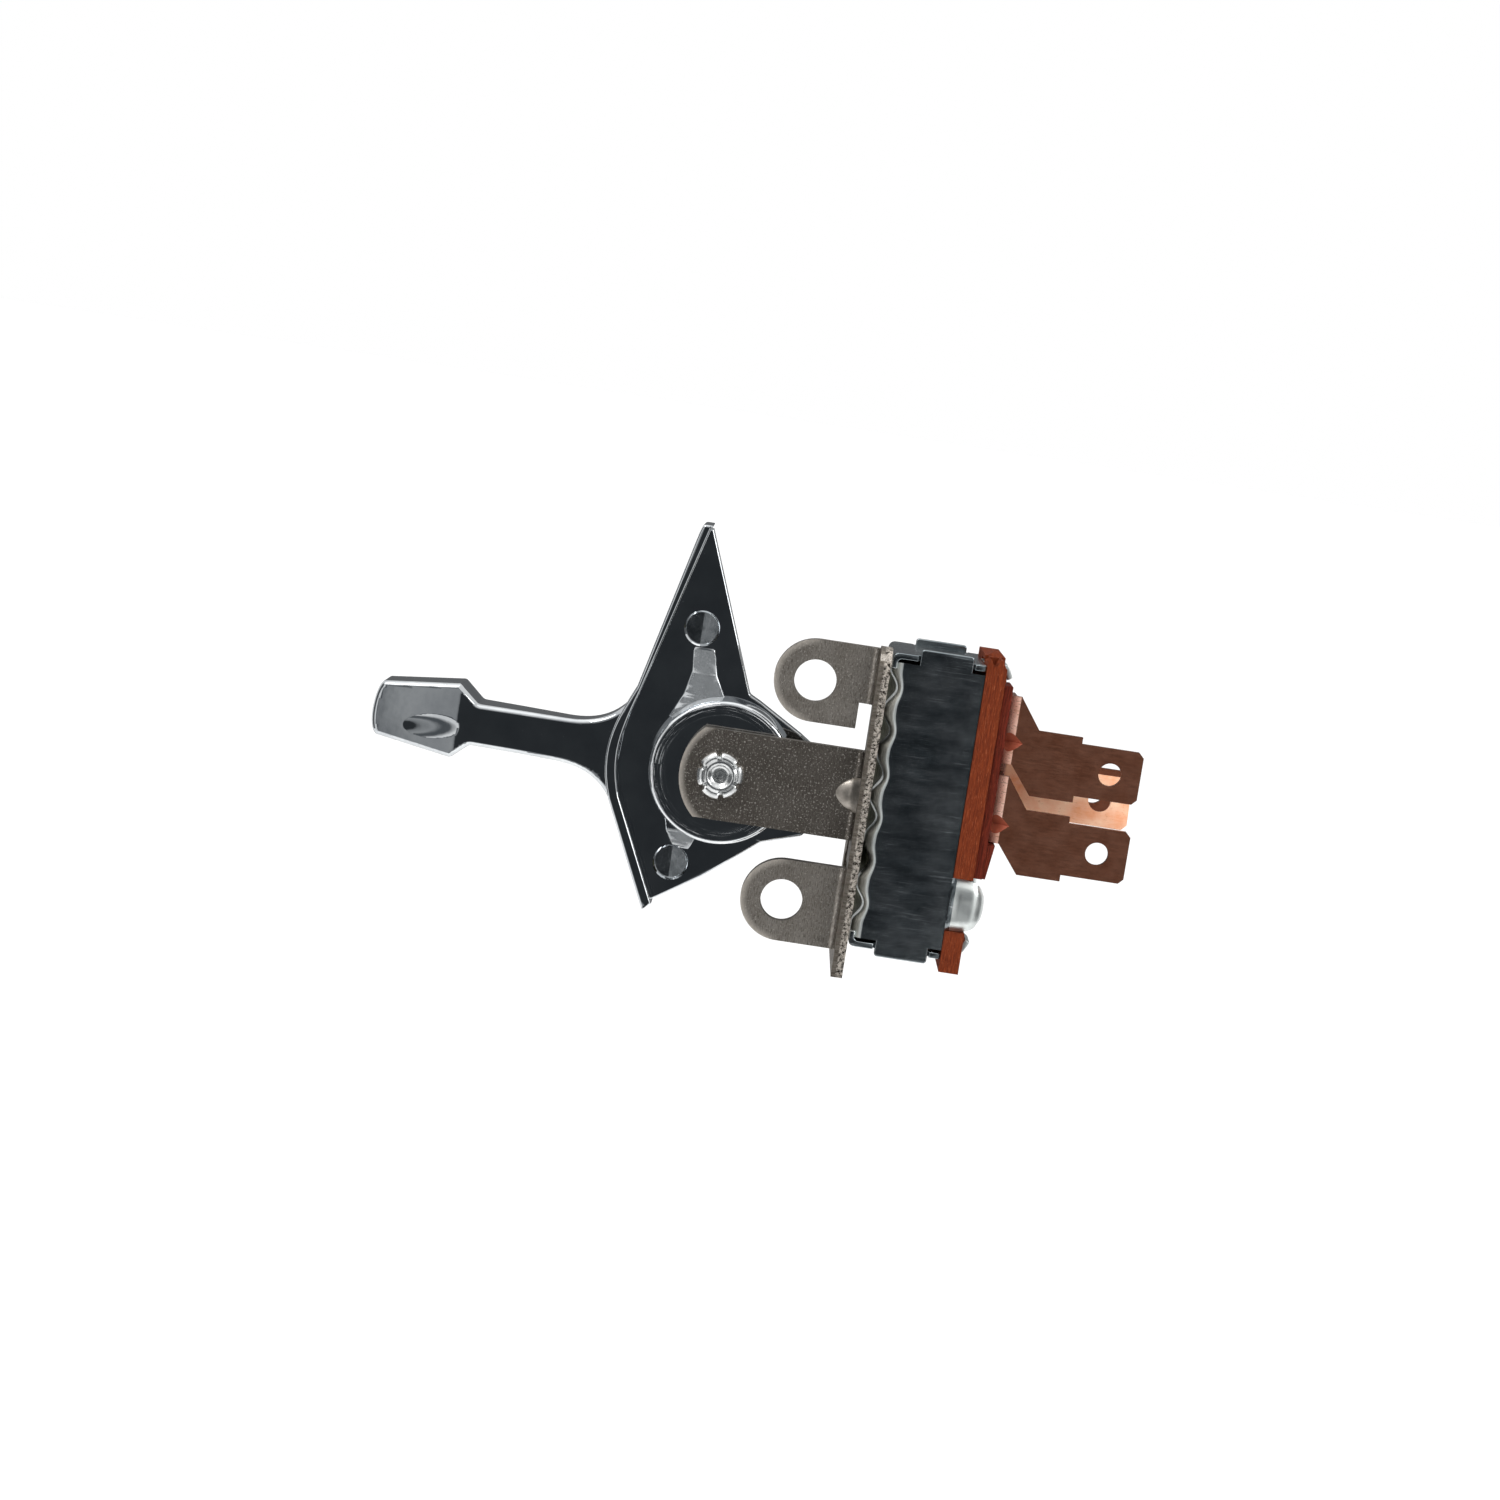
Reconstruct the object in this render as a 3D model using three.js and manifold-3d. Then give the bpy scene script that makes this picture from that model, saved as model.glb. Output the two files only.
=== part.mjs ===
// Lever-operated fan speed switch with blade terminals.
//
// Millimetres, +Z up. The lever swings in the XZ plane: its thumb paddle points to -X, its tail
// points to +X through the bracket into the switch box, and the blade terminals end the part at +X.
// Everything is drawn about the pivot (the rivet's axis runs along Y through X = 0, Z = 0). The
// finished group is then shifted so that the origin lies midway between the two mounting ear holes,
// on the outer face of the ears.

import * as THREE from 'three';
import { mergeVertices } from 'three/addons/utils/BufferGeometryUtils.js';
import Module from 'manifold-3d';

const wasm = await Module();
wasm.setup();

// ---- driving dimensions -------------------------------------------------------------------------

const GAP = 0.05;                 // flat faces that rest on each other
const CLEAR = 0.3;                // round or turned faces that meet
const WELD = 0.05;                // overlap of the shapes that are joined into one piece

const RIVET_R = 2.0;              // pivot rivet shank
const BORE_R = 2.1;               // lever hub bore

const STRIP_FRONT = 16.8;         // bracket plate, -X face
const STRIP_BACK = 18.2;          // bracket plate, +X face
const STEEL = STRIP_BACK - STRIP_FRONT;
const EAR_OUT = -7.3;             // outer (-Y) face of all three ears
const EAR_IN = EAR_OUT + STEEL;
const BEND_IN = 0.9;              // inside radius of the ear bends
const BEND_OUT = BEND_IN + STEEL;
const BEND_X = STRIP_FRONT - BEND_IN;
const BEND_Y = EAR_OUT - BEND_IN;
const RAIL_NEAR = -10.2;          // -Y edge of the plate
const PLATE_FAR = 9.5;
const PLATE_LOW = -21.8;
const PLATE_HIGH = 18.3;
const RAIL_CORNER = 2.3;          // rounded upper corner of the near rail

const EAR_HOLE_X = 9.6;
const EAR_HOLE_R = 2.55;
const EAR_SPACING = 27.0;
const EAR_CENTRE_Z = -0.45;
const EAR_HALF = 5.0;
const BEARING_HALF = 5.5;
const BEARING_TIP = -5.4;
const BEARING_TIP_R = 7.1;
const RELIEF_X = 15.2;            // free edge beside the upper ear's relief notch
const RELIEF_Z = 11.2;

const SHEET = 0.7;                // switch box sheet
const BOX_FRONT = STRIP_BACK + GAP;
const BOX_BACK = 29.55;
const BOX_HALF_Y = 8.8;
const BOX_HALF_Z = 18.0;
const TAB_X = [21.6, 28.0];       // wall tabs at the box ends
const TAB_Z = 18.8;
const DETENT_PITCH = 5.3;
const DETENT_Z = 0.4;             // middle seat of the wavy base
const DENT_DEPTH = 1.05;
const DENT_HALF = 2.3;
const DENT_COUNT = 6;

const BOARD = [29.6, 32.0];
const BOARD_Z = [-19.4, 18.9];
const BOARD_HALF_Y = 9.3;
const SPACER = [32.0, 33.15];
const SPACER_Y = [-8.6, 8.9];
const SPACER_Z = [-7.6, 16.0];
const CRIMP_Z = [-14.3, -7.9];    // side crimp tabs, curled over the board
const CURL_R = 1.3;
const END_TAB_HALF_Y = 2.5;

const COPPER = 0.8;
const FOOT = [SPACER[1], SPACER[1] + COPPER];
const BLADE_END = 50.1;
const BLADE_HALF = 3.18;          // 6.3 mm quick-connect blade
const WIDE_HALF = 3.98;
const WIDE_X = [37.2, 42.5];
const BLADE_HOLE_X = 46.4;
const BLADE_HOLE_R = 1.4;
const COPPER_BEND = 0.6;

const TAIL_R = 22.5;              // pivot to the centre of the tail's round end
const TAIL_END_R = 1.2;
const SWING = 28.1;               // degrees each way, two detent seats

const SHAFT_SEGMENTS = 40;

// ---- materials ----------------------------------------------------------------------------------

const finish = (color, roughness, metalness) =>
  new THREE.MeshStandardMaterial({ color, roughness, metalness });

const FINISH = {
  chrome: () => finish(0x9aa0a6, 0.08, 1),
  nickel: () => finish(0x8d857a, 0.45, 1),
  zinc: () => finish(0x8f979c, 0.3, 1),
  bright: () => finish(0xc9ccd0, 0.2, 1),
  steel: () => finish(0xb0b3b6, 0.25, 1),
  phenolic: () => finish(0x9a5230, 0.7, 0),
  insulator: () => finish(0x6b2414, 0.6, 0),
  carriage: () => finish(0x2a2622, 0.6, 0),
  copper: () => finish(0xb0714f, 0.4, 1),
};

// ---- helpers ------------------------------------------------------------------------------------

/** A closed geometry as a solid that can be joined and cut. */
function solid(geometry) {
  const bare = geometry.clone();
  bare.deleteAttribute('normal');
  bare.deleteAttribute('uv');
  const merged = mergeVertices(bare, 1e-4);
  return new wasm.Manifold(new wasm.Mesh({
    numProp: 3,
    vertProperties: new Float32Array(merged.attributes.position.array),
    triVerts: new Uint32Array(merged.index.array),
  }));
}

const join = (first, ...others) => others.reduce((a, b) => a.add(b), first);
const cut = (first, ...others) => others.reduce((a, b) => a.subtract(b), first);

/** A solid as a named mesh. */
function piece(name, body, material) {
  const mesh = body.getMesh();
  const geometry = new THREE.BufferGeometry();
  geometry.setAttribute('position', new THREE.BufferAttribute(mesh.vertProperties, 3));
  geometry.setIndex(new THREE.BufferAttribute(mesh.triVerts, 1));
  geometry.computeVertexNormals();
  const named = new THREE.Mesh(geometry, material);
  named.name = name;
  return named;
}

function box([x0, x1], [y0, y1], [z0, z1]) {
  const geometry = new THREE.BoxGeometry(x1 - x0, y1 - y0, z1 - z0);
  geometry.translate((x0 + x1) / 2, (y0 + y1) / 2, (z0 + z1) / 2);
  return solid(geometry);
}

/** An outline drawn in X and Z, as thick as the Y range. */
function slabY(shape, [y0, y1], curveSegments = 12) {
  const geometry = new THREE.ExtrudeGeometry(shape, { depth: y1 - y0, bevelEnabled: false, curveSegments });
  geometry.applyMatrix4(new THREE.Matrix4().makeBasis(
    new THREE.Vector3(1, 0, 0), new THREE.Vector3(0, 0, 1), new THREE.Vector3(0, -1, 0)));
  geometry.translate(0, y1, 0);
  return solid(geometry);
}

/** An outline drawn in Y and Z, as thick as the X range. */
function slabX(shape, [x0, x1], curveSegments = 12) {
  const geometry = new THREE.ExtrudeGeometry(shape, { depth: x1 - x0, bevelEnabled: false, curveSegments });
  geometry.applyMatrix4(new THREE.Matrix4().makeBasis(
    new THREE.Vector3(0, 1, 0), new THREE.Vector3(0, 0, 1), new THREE.Vector3(1, 0, 0)));
  geometry.translate(x0, 0, 0);
  return solid(geometry);
}

/** An outline drawn in X and Y, as tall as the Z range. */
function slabZ(shape, [z0, z1], curveSegments = 12) {
  const geometry = new THREE.ExtrudeGeometry(shape, { depth: z1 - z0, bevelEnabled: false, curveSegments });
  geometry.translate(0, 0, z0);
  return solid(geometry);
}

function shapeOf(points) {
  return new THREE.Shape(points.map(([a, b]) => new THREE.Vector2(a, b)));
}

/** A cylinder or cone along Y. */
function rodY([y0, y1], x, z, r0, r1 = r0, segments = SHAFT_SEGMENTS) {
  const geometry = new THREE.CylinderGeometry(r1, r0, y1 - y0, segments);
  geometry.translate(x, (y0 + y1) / 2, z);
  return solid(geometry);
}

/** A cylinder along X. */
function rodX([x0, x1], y, z, radius, segments = 20) {
  const geometry = new THREE.CylinderGeometry(radius, radius, x1 - x0, segments);
  geometry.rotateZ(-Math.PI / 2);
  geometry.translate((x0 + x1) / 2, y, z);
  return solid(geometry);
}

/** Part of a ring in X and Y about (x, y), from angle `from`, for a bend that runs along Z. */
function bend(x, y, inner, outer, from, heights, sweep = Math.PI / 2) {
  const to = from + sweep;
  const ring = new THREE.Shape();
  ring.absarc(x, y, outer, from, to, false);
  ring.absarc(x, y, inner, to, from, true);
  return slabZ(ring, heights, 8);
}

/** A helical compression spring along X, one closed body. */
function springX([x0, x1], y, z, radius, wire, turns) {
  const STEPS_A_TURN = 12;
  class Helix extends THREE.Curve {
    getPoint(t, target = new THREE.Vector3()) {
      const angle = t * turns * 2 * Math.PI;
      const along = x0 + wire + (x1 - x0 - 2 * wire) * t;
      return target.set(along, y + radius * Math.cos(angle), z + radius * Math.sin(angle));
    }
  }
  const section = new THREE.Shape();
  section.absarc(0, 0, wire, 0, 2 * Math.PI, false);
  return solid(new THREE.ExtrudeGeometry(section, {
    steps: turns * STEPS_A_TURN, extrudePath: new Helix(), curveSegments: 3, bevelEnabled: false,
  }));
}

// ---- lever --------------------------------------------------------------------------------------

const PADDLE_HALF_Y = 4.0;        // the thumb paddle is thicker than its stem
const STEM_HALF_Y = 2.4;
const SHIELD_HALF_Y = 4.5;
const WEB_HALF_Y = 1.25;
const HUB_Y = [-5.5, 4.6];
const HUB_R = [8.6, 9.1];
const RECESS_R = 1.9;
const RECESS_DEPTH = 0.4;

/** Thumb paddle: widest next to the stem, narrowing to a slightly curved end. */
function paddleSolid() {
  const outline = new THREE.Shape();
  outline.moveTo(-30.5, 3.6);
  outline.lineTo(-33.0, 5.8);
  outline.lineTo(-42.3, 4.9);
  outline.quadraticCurveTo(-43.8, 1.6, -42.9, -1.8);
  outline.lineTo(-33.0, -3.4);
  outline.lineTo(-30.9, -1.6);
  return slabY(outline, [-PADDLE_HALF_Y, PADDLE_HALF_Y], 8);
}

/** Stem, widening in two concave curves into the back of the shield. */
function stemSolid() {
  const outline = new THREE.Shape();
  outline.moveTo(-12.3, 6.5);
  outline.quadraticCurveTo(-15.2, 3.6, -19.6, 3.5);
  outline.lineTo(-31.0, 3.6);
  outline.lineTo(-31.0, -1.5);
  outline.lineTo(-29.5, -1.5);
  outline.lineTo(-20.5, -1.95);
  outline.quadraticCurveTo(-15.6, -2.4, -13.1, -5.6);
  outline.lineTo(-12.4, -1.0);
  return slabY(outline, [-STEM_HALF_Y, STEM_HALF_Y], 8);
}

/** The V-shaped shield that closes the slot of the control panel. */
function shieldSolid() {
  const outline = new THREE.Shape();
  outline.moveTo(-6.5, 29.4);
  outline.lineTo(-6.8, 28.6);
  outline.lineTo(-11.6, 8.8);
  outline.bezierCurveTo(-13.0, 5.4, -15.6, 1.2, -13.1, -5.35);
  outline.lineTo(-7.06, -18.3);
  outline.lineTo(-5.99, -17.3);
  outline.lineTo(-11.82, -4.9);
  outline.bezierCurveTo(-13.5, 0.2, -12.6, 3.2, -11.1, 8.2);
  outline.lineTo(-5.88, 27.7);
  outline.lineTo(-5.3, 29.4);
  return slabY(outline, [-SHIELD_HALF_Y, SHIELD_HALF_Y], 10);
}

/** The flat web between the shield and the hub, running out into the tail. */
function webSolid() {
  const outline = shapeOf([
    [-5.9, 28.7], [-5.3, 28.9], [2.1, 9.5], [3.5, 8.8], [6.2, 7.45], [9.0, 5.6], [14.6, 1.8], [TAIL_R, 0.9],
    [TAIL_R, -0.9], [14.6, -1.7], [10.9, -6.8], [6.1, -8.3], [3.9, -10.1], [-0.5, -13.6], [-6.2, -17.4],
    [-12.2, -4.6], [-13.2, 0], [-11.6, 7.9],
  ]);
  return slabY(outline, [-WEB_HALF_Y, WEB_HALF_Y]);
}

function leverPiece() {
  const hub = join(
    rodY([HUB_Y[0], 0], 0, 0, HUB_R[0], HUB_R[1], 48),
    rodY([0, HUB_Y[1]], 0, 0, HUB_R[1], HUB_R[0], 48),
  );
  const tailEnd = rodY([-WEB_HALF_Y, WEB_HALF_Y], TAIL_R, 0, TAIL_END_R, TAIL_END_R, 24);
  const recess = (x, z) => rodY([-WEB_HALF_Y - 1, -WEB_HALF_Y + RECESS_DEPTH], x, z, RECESS_R, RECESS_R, 32);
  const body = cut(
    join(webSolid(), shieldSolid(), stemSolid(), paddleSolid(), hub, tailEnd),
    rodY([-9, 9], 0, 0, BORE_R),
    recess(-4.9, 16.7),
    recess(-4.5, -12.4),
  );
  return piece('lever', body, FINISH.chrome());
}

// ---- pivot --------------------------------------------------------------------------------------

const NEAR_HEAD = [EAR_OUT - 1.25, EAR_OUT - GAP];
const FAR_WASHER = [HUB_Y[1] + GAP, HUB_Y[1] + GAP + 0.8];
const FAR_HEAD = [FAR_WASHER[1] + GAP, FAR_WASHER[1] + GAP + 1.1];

function pivotPieces() {
  const dimple = rodY([NEAR_HEAD[0] - 0.01, NEAR_HEAD[0] + 2.2], 0, 0, 1.35, 0.3);
  const rivet = cut(
    join(
      rodY([NEAR_HEAD[0] + 0.3, FAR_HEAD[0] + 0.1], 0, 0, RIVET_R),
      rodY([NEAR_HEAD[0], NEAR_HEAD[0] + 0.5], 0, 0, 2.3, 2.9),
      rodY([NEAR_HEAD[0] + 0.5, NEAR_HEAD[1]], 0, 0, 2.9),
      rodY([FAR_HEAD[0], FAR_HEAD[1] - 0.4], 0, 0, 3.4),
      rodY([FAR_HEAD[1] - 0.4, FAR_HEAD[1]], 0, 0, 3.4, 2.8),
    ),
    dimple,
  );
  const ring = (y, outer) => cut(rodY(y, 0, 0, outer), rodY([y[0] - 1, y[1] + 1], 0, 0, BORE_R + 0.1));
  return [
    piece('pivot_rivet', rivet, FINISH.bright()),
    piece('friction_washer', ring([EAR_IN + GAP, HUB_Y[0] - GAP], 4.8), FINISH.steel()),
    piece('backing_washer', ring(FAR_WASHER, 4.6), FINISH.steel()),
  ];
}

// ---- mounting bracket ---------------------------------------------------------------------------

/** An ear with a full-radius end, in X and Z, with its screw hole. */
function mountingEar(centreZ, root) {
  const outline = new THREE.Shape();
  outline.moveTo(root + WELD, centreZ - EAR_HALF);
  outline.lineTo(EAR_HOLE_X, centreZ - EAR_HALF);
  outline.absarc(EAR_HOLE_X, centreZ, EAR_HALF, -Math.PI / 2, -1.5 * Math.PI, true);
  outline.lineTo(root + WELD, centreZ + EAR_HALF);
  const hole = new THREE.Path();
  hole.absarc(EAR_HOLE_X, centreZ, EAR_HOLE_R, 0, 2 * Math.PI, false);
  outline.holes.push(hole);
  return slabY(outline, [EAR_OUT, EAR_IN], 20);
}

function bearingEar() {
  const reach = Math.sqrt(BEARING_TIP_R ** 2 - BEARING_HALF ** 2);
  const tipCentre = BEARING_TIP + BEARING_TIP_R;
  const angle = Math.atan2(BEARING_HALF, -reach);
  const outline = new THREE.Shape();
  outline.moveTo(BEND_X + WELD, -BEARING_HALF);
  outline.lineTo(tipCentre - reach, -BEARING_HALF);
  outline.absarc(tipCentre, 0, BEARING_TIP_R, -angle, angle - 2 * Math.PI, true);
  outline.lineTo(BEND_X + WELD, BEARING_HALF);
  return cut(slabY(outline, [EAR_OUT, EAR_IN], 12), rodY([EAR_OUT - 1, EAR_IN + 1], 0, 0, BORE_R + 0.1));
}

/** The flat plate: a near rail over the full height and a wide block below the bearing ear. */
function bracketPlate() {
  const SLOT = 2.2;
  const WINDOW_FAR = 5.3;
  const LOW_WINDOW = [-19.2, -8.6];
  const BLOCK_TOP = -5.9;
  const outline = new THREE.Shape();
  outline.moveTo(RAIL_NEAR, PLATE_LOW);
  outline.lineTo(PLATE_FAR, PLATE_LOW);
  outline.lineTo(PLATE_FAR, BLOCK_TOP);
  outline.lineTo(SLOT, BLOCK_TOP);
  outline.lineTo(SLOT, LOW_WINDOW[1]);
  outline.lineTo(WINDOW_FAR, LOW_WINDOW[1]);
  outline.lineTo(WINDOW_FAR, LOW_WINDOW[0]);
  outline.lineTo(EAR_IN, LOW_WINDOW[0]);
  outline.lineTo(EAR_IN, LOW_WINDOW[1]);
  outline.lineTo(-SLOT, LOW_WINDOW[1]);
  outline.lineTo(-SLOT, BLOCK_TOP);
  outline.lineTo(EAR_IN, BLOCK_TOP);
  outline.lineTo(EAR_IN, PLATE_HIGH);
  outline.lineTo(RAIL_NEAR + RAIL_CORNER, PLATE_HIGH);
  outline.absarc(RAIL_NEAR + RAIL_CORNER, PLATE_HIGH - RAIL_CORNER, RAIL_CORNER, Math.PI / 2, Math.PI, false);
  return slabX(outline, [STRIP_FRONT, STRIP_BACK], 6);
}

function bracketPiece() {
  const lowEar = EAR_CENTRE_Z - EAR_SPACING / 2;
  const highEar = EAR_CENTRE_Z + EAR_SPACING / 2;
  const roots = [
    [lowEar - EAR_HALF, lowEar + EAR_HALF],
    [-BEARING_HALF, BEARING_HALF],
    [RELIEF_Z, highEar + EAR_HALF],
  ];
  const behindBends = roots.map((z) => box([STRIP_FRONT - 1, STRIP_BACK + 1], [BEND_Y + WELD, EAR_IN + 1], z));
  const bends = roots.map((z) => bend(BEND_X, BEND_Y, BEND_IN, BEND_OUT, 0, z));
  const relief = box([RELIEF_X, STRIP_FRONT], [EAR_OUT - 1, EAR_IN + 1], [highEar - EAR_HALF - 1, RELIEF_Z]);
  const body = join(
    cut(bracketPlate(), ...behindBends),
    ...bends,
    mountingEar(lowEar, BEND_X),
    cut(mountingEar(highEar, BEND_X), relief),
    bearingEar(),
  );
  return piece('mounting_bracket', body, FINISH.nickel());
}

// ---- switch box ---------------------------------------------------------------------------------

/** Outer X of the wavy base at height z: flat seats between smooth dents. */
function baseX(z) {
  const first = DETENT_Z - ((DENT_COUNT - 1) / 2) * DETENT_PITCH;
  const nearest = Math.min(DENT_COUNT - 1, Math.max(0, Math.round((z - first) / DETENT_PITCH)));
  const s = Math.abs(z - first - nearest * DETENT_PITCH);
  return BOX_FRONT + (s < DENT_HALF ? DENT_DEPTH * (0.5 + 0.5 * Math.cos((Math.PI * s) / DENT_HALF)) : 0);
}

/** The base's wave from z0 to z1 as points, moved along X by `offset`. */
function wave(z0, z1, offset) {
  const STEP = 0.55;
  const count = Math.round(Math.abs(z1 - z0) / STEP);
  return Array.from({ length: count + 1 }, (_, i) => {
    const z = z0 + ((z1 - z0) * i) / count;
    return [baseX(z) + offset, z];
  });
}

/** One end flap with its bent-over end tab, in X and Z; side is +1 for the upper end. */
function endFlap(side) {
  const inner = BOX_HALF_Z - SHEET;
  const flap = shapeOf([
    [BOX_FRONT + 0.2, inner], [BOARD[1] + 0.2, inner], [BOARD[1] + 0.75, inner - 1.1],
    [BOARD[1] + 1.3, inner - 0.75], [BOARD[1] + 0.6, BOX_HALF_Z], [BOX_FRONT + 0.6, BOX_HALF_Z],
    [BOX_FRONT + 0.2, BOX_HALF_Z - 0.4],
  ].map(([x, z]) => [x, side * z]));
  const wide = [-BOX_HALF_Y, BOX_HALF_Y];
  const beside = BOX_HALF_Y - SHEET - 0.25;
  const notch = (y) => box(TAB_X, y, side > 0 ? [inner - 1, TAB_Z + 1] : [-TAB_Z - 1, -inner + 1]);
  const past = (y) => box([BOX_BACK, BOARD[1] + 2], y, side > 0 ? [inner - 3, TAB_Z] : [-TAB_Z, -inner + 3]);
  return cut(
    slabY(flap, wide),
    notch([-BOX_HALF_Y - 1, -beside]), notch([beside, BOX_HALF_Y + 1]),
    past([-BOX_HALF_Y - 1, -END_TAB_HALF_Y]), past([END_TAB_HALF_Y, BOX_HALF_Y + 1]),
  );
}

/** One side wall with its two raised end tabs and its crimp tab over the board. */
function sideWall(side) {
  const WALL_TOP = BOX_HALF_Z - SHEET - 0.5;
  const outline = shapeOf([
    ...wave(-WALL_TOP, WALL_TOP, 0.3),
    [TAB_X[0], WALL_TOP], [TAB_X[0], TAB_Z], [TAB_X[1], TAB_Z], [TAB_X[1], WALL_TOP],
    [BOX_BACK, WALL_TOP], [BOX_BACK, -WALL_TOP],
    [TAB_X[1], -WALL_TOP], [TAB_X[1], -TAB_Z], [TAB_X[0], -TAB_Z], [TAB_X[0], -WALL_TOP],
  ]);
  const outer = side * BOX_HALF_Y;
  const inner = side * (BOX_HALF_Y - SHEET);
  const thickness = [Math.min(outer, inner), Math.max(outer, inner)];
  const curlX = BOARD[1] + 0.2;
  const curlY = outer - side * CURL_R;
  const CURL_SWEEP = THREE.MathUtils.degToRad(168);
  const curlFrom = side > 0 ? Math.PI / 2 - CURL_SWEEP : -Math.PI / 2;
  return join(
    slabY(outline, thickness),
    box([BOX_BACK - 0.2, curlX + WELD], thickness, CRIMP_Z),
    bend(curlX, curlY, CURL_R - SHEET, CURL_R, curlFrom, CRIMP_Z, CURL_SWEEP),
  );
}

function housingPiece() {
  const baseHalf = BOX_HALF_Z - SHEET / 2;
  const base = shapeOf([...wave(-baseHalf, baseHalf, 0), ...wave(baseHalf, -baseHalf, SHEET)]);
  const slotHalfZ = (STRIP_BACK + 2) * Math.tan(THREE.MathUtils.degToRad(SWING)) + 2;
  const body = cut(
    join(slabY(base, [-BOX_HALF_Y, BOX_HALF_Y]), sideWall(-1), sideWall(1), endFlap(-1), endFlap(1)),
    box([BOX_FRONT - 1, BOX_FRONT + 3], [-WEB_HALF_Y - 0.45, WEB_HALF_Y + 0.45], [-slotHalfZ, slotHalfZ]),
  );
  return piece('switch_housing', body, FINISH.zinc());
}

// ---- terminal board, spacer and terminals -------------------------------------------------------

// Each terminal: blade centre height z, outer face y, side the foot runs to (+1 is +Y), flip -1
// for a blank turned upside down, rivet place, and how far the foot reaches in Y and Z.
const TERMINALS = [
  { name: 'a', z: 7.1, y: -6.9, side: 1, flip: 1, rivet: [-3.8, 10.7], footY: -2.0, footZ: [-0.55, 7.7] },
  { name: 'b', z: -2.65, y: -6.9, side: 1, flip: 1, rivet: [-3.8, 0.95], footY: -2.0, footZ: [-0.55, 7.7] },
  { name: 'c', z: 3.1, y: -1.0, side: 1, flip: 1, rivet: [2.7, 7.4], footY: 4.9, footZ: [0.8, 7.7] },
  { name: 'd', z: 3.1, y: 7.9, side: -1, flip: -1, rivet: [4.1, -1.1], footY: 2.2, footZ: [0.4, 7.7] },
];
const SHANK_R = 1.2;
const SHANK_HOLE = SHANK_R + CLEAR;

const shankHoles = (x) => TERMINALS.map(({ rivet: [y, z] }) => rodX(x, y, z, SHANK_HOLE));

function boardPiece() {
  const NOTCH = 1.8;
  const slotZ = [BOX_HALF_Z - SHEET - CLEAR, BOX_HALF_Z + CLEAR];
  const slotY = [-END_TAB_HALF_Y - CLEAR, END_TAB_HALF_Y + CLEAR];
  const through = [BOARD[0] - 1, BOARD[1] + 1];
  const crimp = [CRIMP_Z[0] - 0.1, CRIMP_Z[1] + 0.1];
  const body = cut(
    box(BOARD, [-BOARD_HALF_Y, BOARD_HALF_Y], BOARD_Z),
    box(through, [-BOARD_HALF_Y - 1, -BOX_HALF_Y + NOTCH], crimp),
    box(through, [BOX_HALF_Y - NOTCH, BOARD_HALF_Y + 1], crimp),
    box(through, slotY, slotZ),
    box(through, slotY, [-slotZ[1], -slotZ[0]]),
    ...shankHoles(through),
  );
  return piece('terminal_board', body, FINISH.phenolic());
}

function spacerPiece() {
  const [x0, x1] = SPACER;
  const outline = shapeOf([
    [x0 + GAP, SPACER_Z[0]], [x1 - GAP, SPACER_Z[0]], [x1 - GAP, SPACER_Z[1]], [x0 + GAP, SPACER_Z[1]],
  ]);
  const endTab = box([x0, x1 + 1], [-END_TAB_HALF_Y - CLEAR, END_TAB_HALF_Y + CLEAR],
    [SPACER_Z[1] - 0.9, SPACER_Z[1] + 1]);
  const body = cut(slabY(outline, SPACER_Y), endTab, ...shankHoles([x0 - 1, x1 + 1]));
  return piece('terminal_spacer', body, FINISH.insulator());
}

/** One blade terminal: riveted foot, bend, sloping shoulder and quick-connect blade. */
function terminalPiece({ name, z, y, side, flip, rivet, footY, footZ }) {
  const outerBend = COPPER_BEND + COPPER;
  const bendX = FOOT[0] + outerBend;
  const bendY = y + side * outerBend;
  const END_CORNER = 0.6;
  const half = [
    [bendX - WELD, 0], [WIDE_X[0], WIDE_HALF], [WIDE_X[1], WIDE_HALF], [WIDE_X[1], BLADE_HALF],
    [BLADE_END - END_CORNER, BLADE_HALF], [BLADE_END, BLADE_HALF - END_CORNER],
  ];
  const low = half.map(([x, h], i) => [x, i ? -h : footZ[0]]);
  const high = half.map(([x, h], i) => [x, i ? h : footZ[1]]).reverse();
  const outline = shapeOf([...low, ...high].map(([x, h]) => [x, z + flip * h]));
  const hole = new THREE.Path();
  hole.absarc(BLADE_HOLE_X, z, BLADE_HOLE_R, 0, 2 * Math.PI, false);
  outline.holes.push(hole);
  const inner = y + side * COPPER;
  const heights = [z + flip * footZ[0], z + flip * footZ[1]].sort((a, b) => a - b);
  const body = cut(
    join(
      slabY(outline, [Math.min(y, inner), Math.max(y, inner)]),
      bend(bendX, bendY, COPPER_BEND, outerBend, side > 0 ? Math.PI : Math.PI / 2, heights),
      box(FOOT, [Math.min(bendY - side * WELD, footY), Math.max(bendY - side * WELD, footY)], heights),
    ),
    rodX([FOOT[0] - 1, FOOT[1] + 1], rivet[0], rivet[1], SHANK_HOLE),
  );
  return piece(`terminal_${name}`, body, FINISH.copper());
}

/** A contact rivet: contact button inside, shank through the board, formed head on the foot. */
function contactRivetPiece({ name, rivet: [y, z] }) {
  const inside = [BOARD[0] - GAP - 0.9, BOARD[0] - GAP];
  const outside = [FOOT[1] + GAP, FOOT[1] + GAP + 0.6];
  const body = join(
    rodX(inside, y, z, 2.1),
    rodX([inside[1] - 0.1, outside[0] + 0.1], y, z, SHANK_R),
    rodX(outside, y, z, 1.75),
  );
  return piece(`contact_rivet_${name}`, body, FINISH.copper());
}

// ---- inside the box -----------------------------------------------------------------------------

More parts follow.
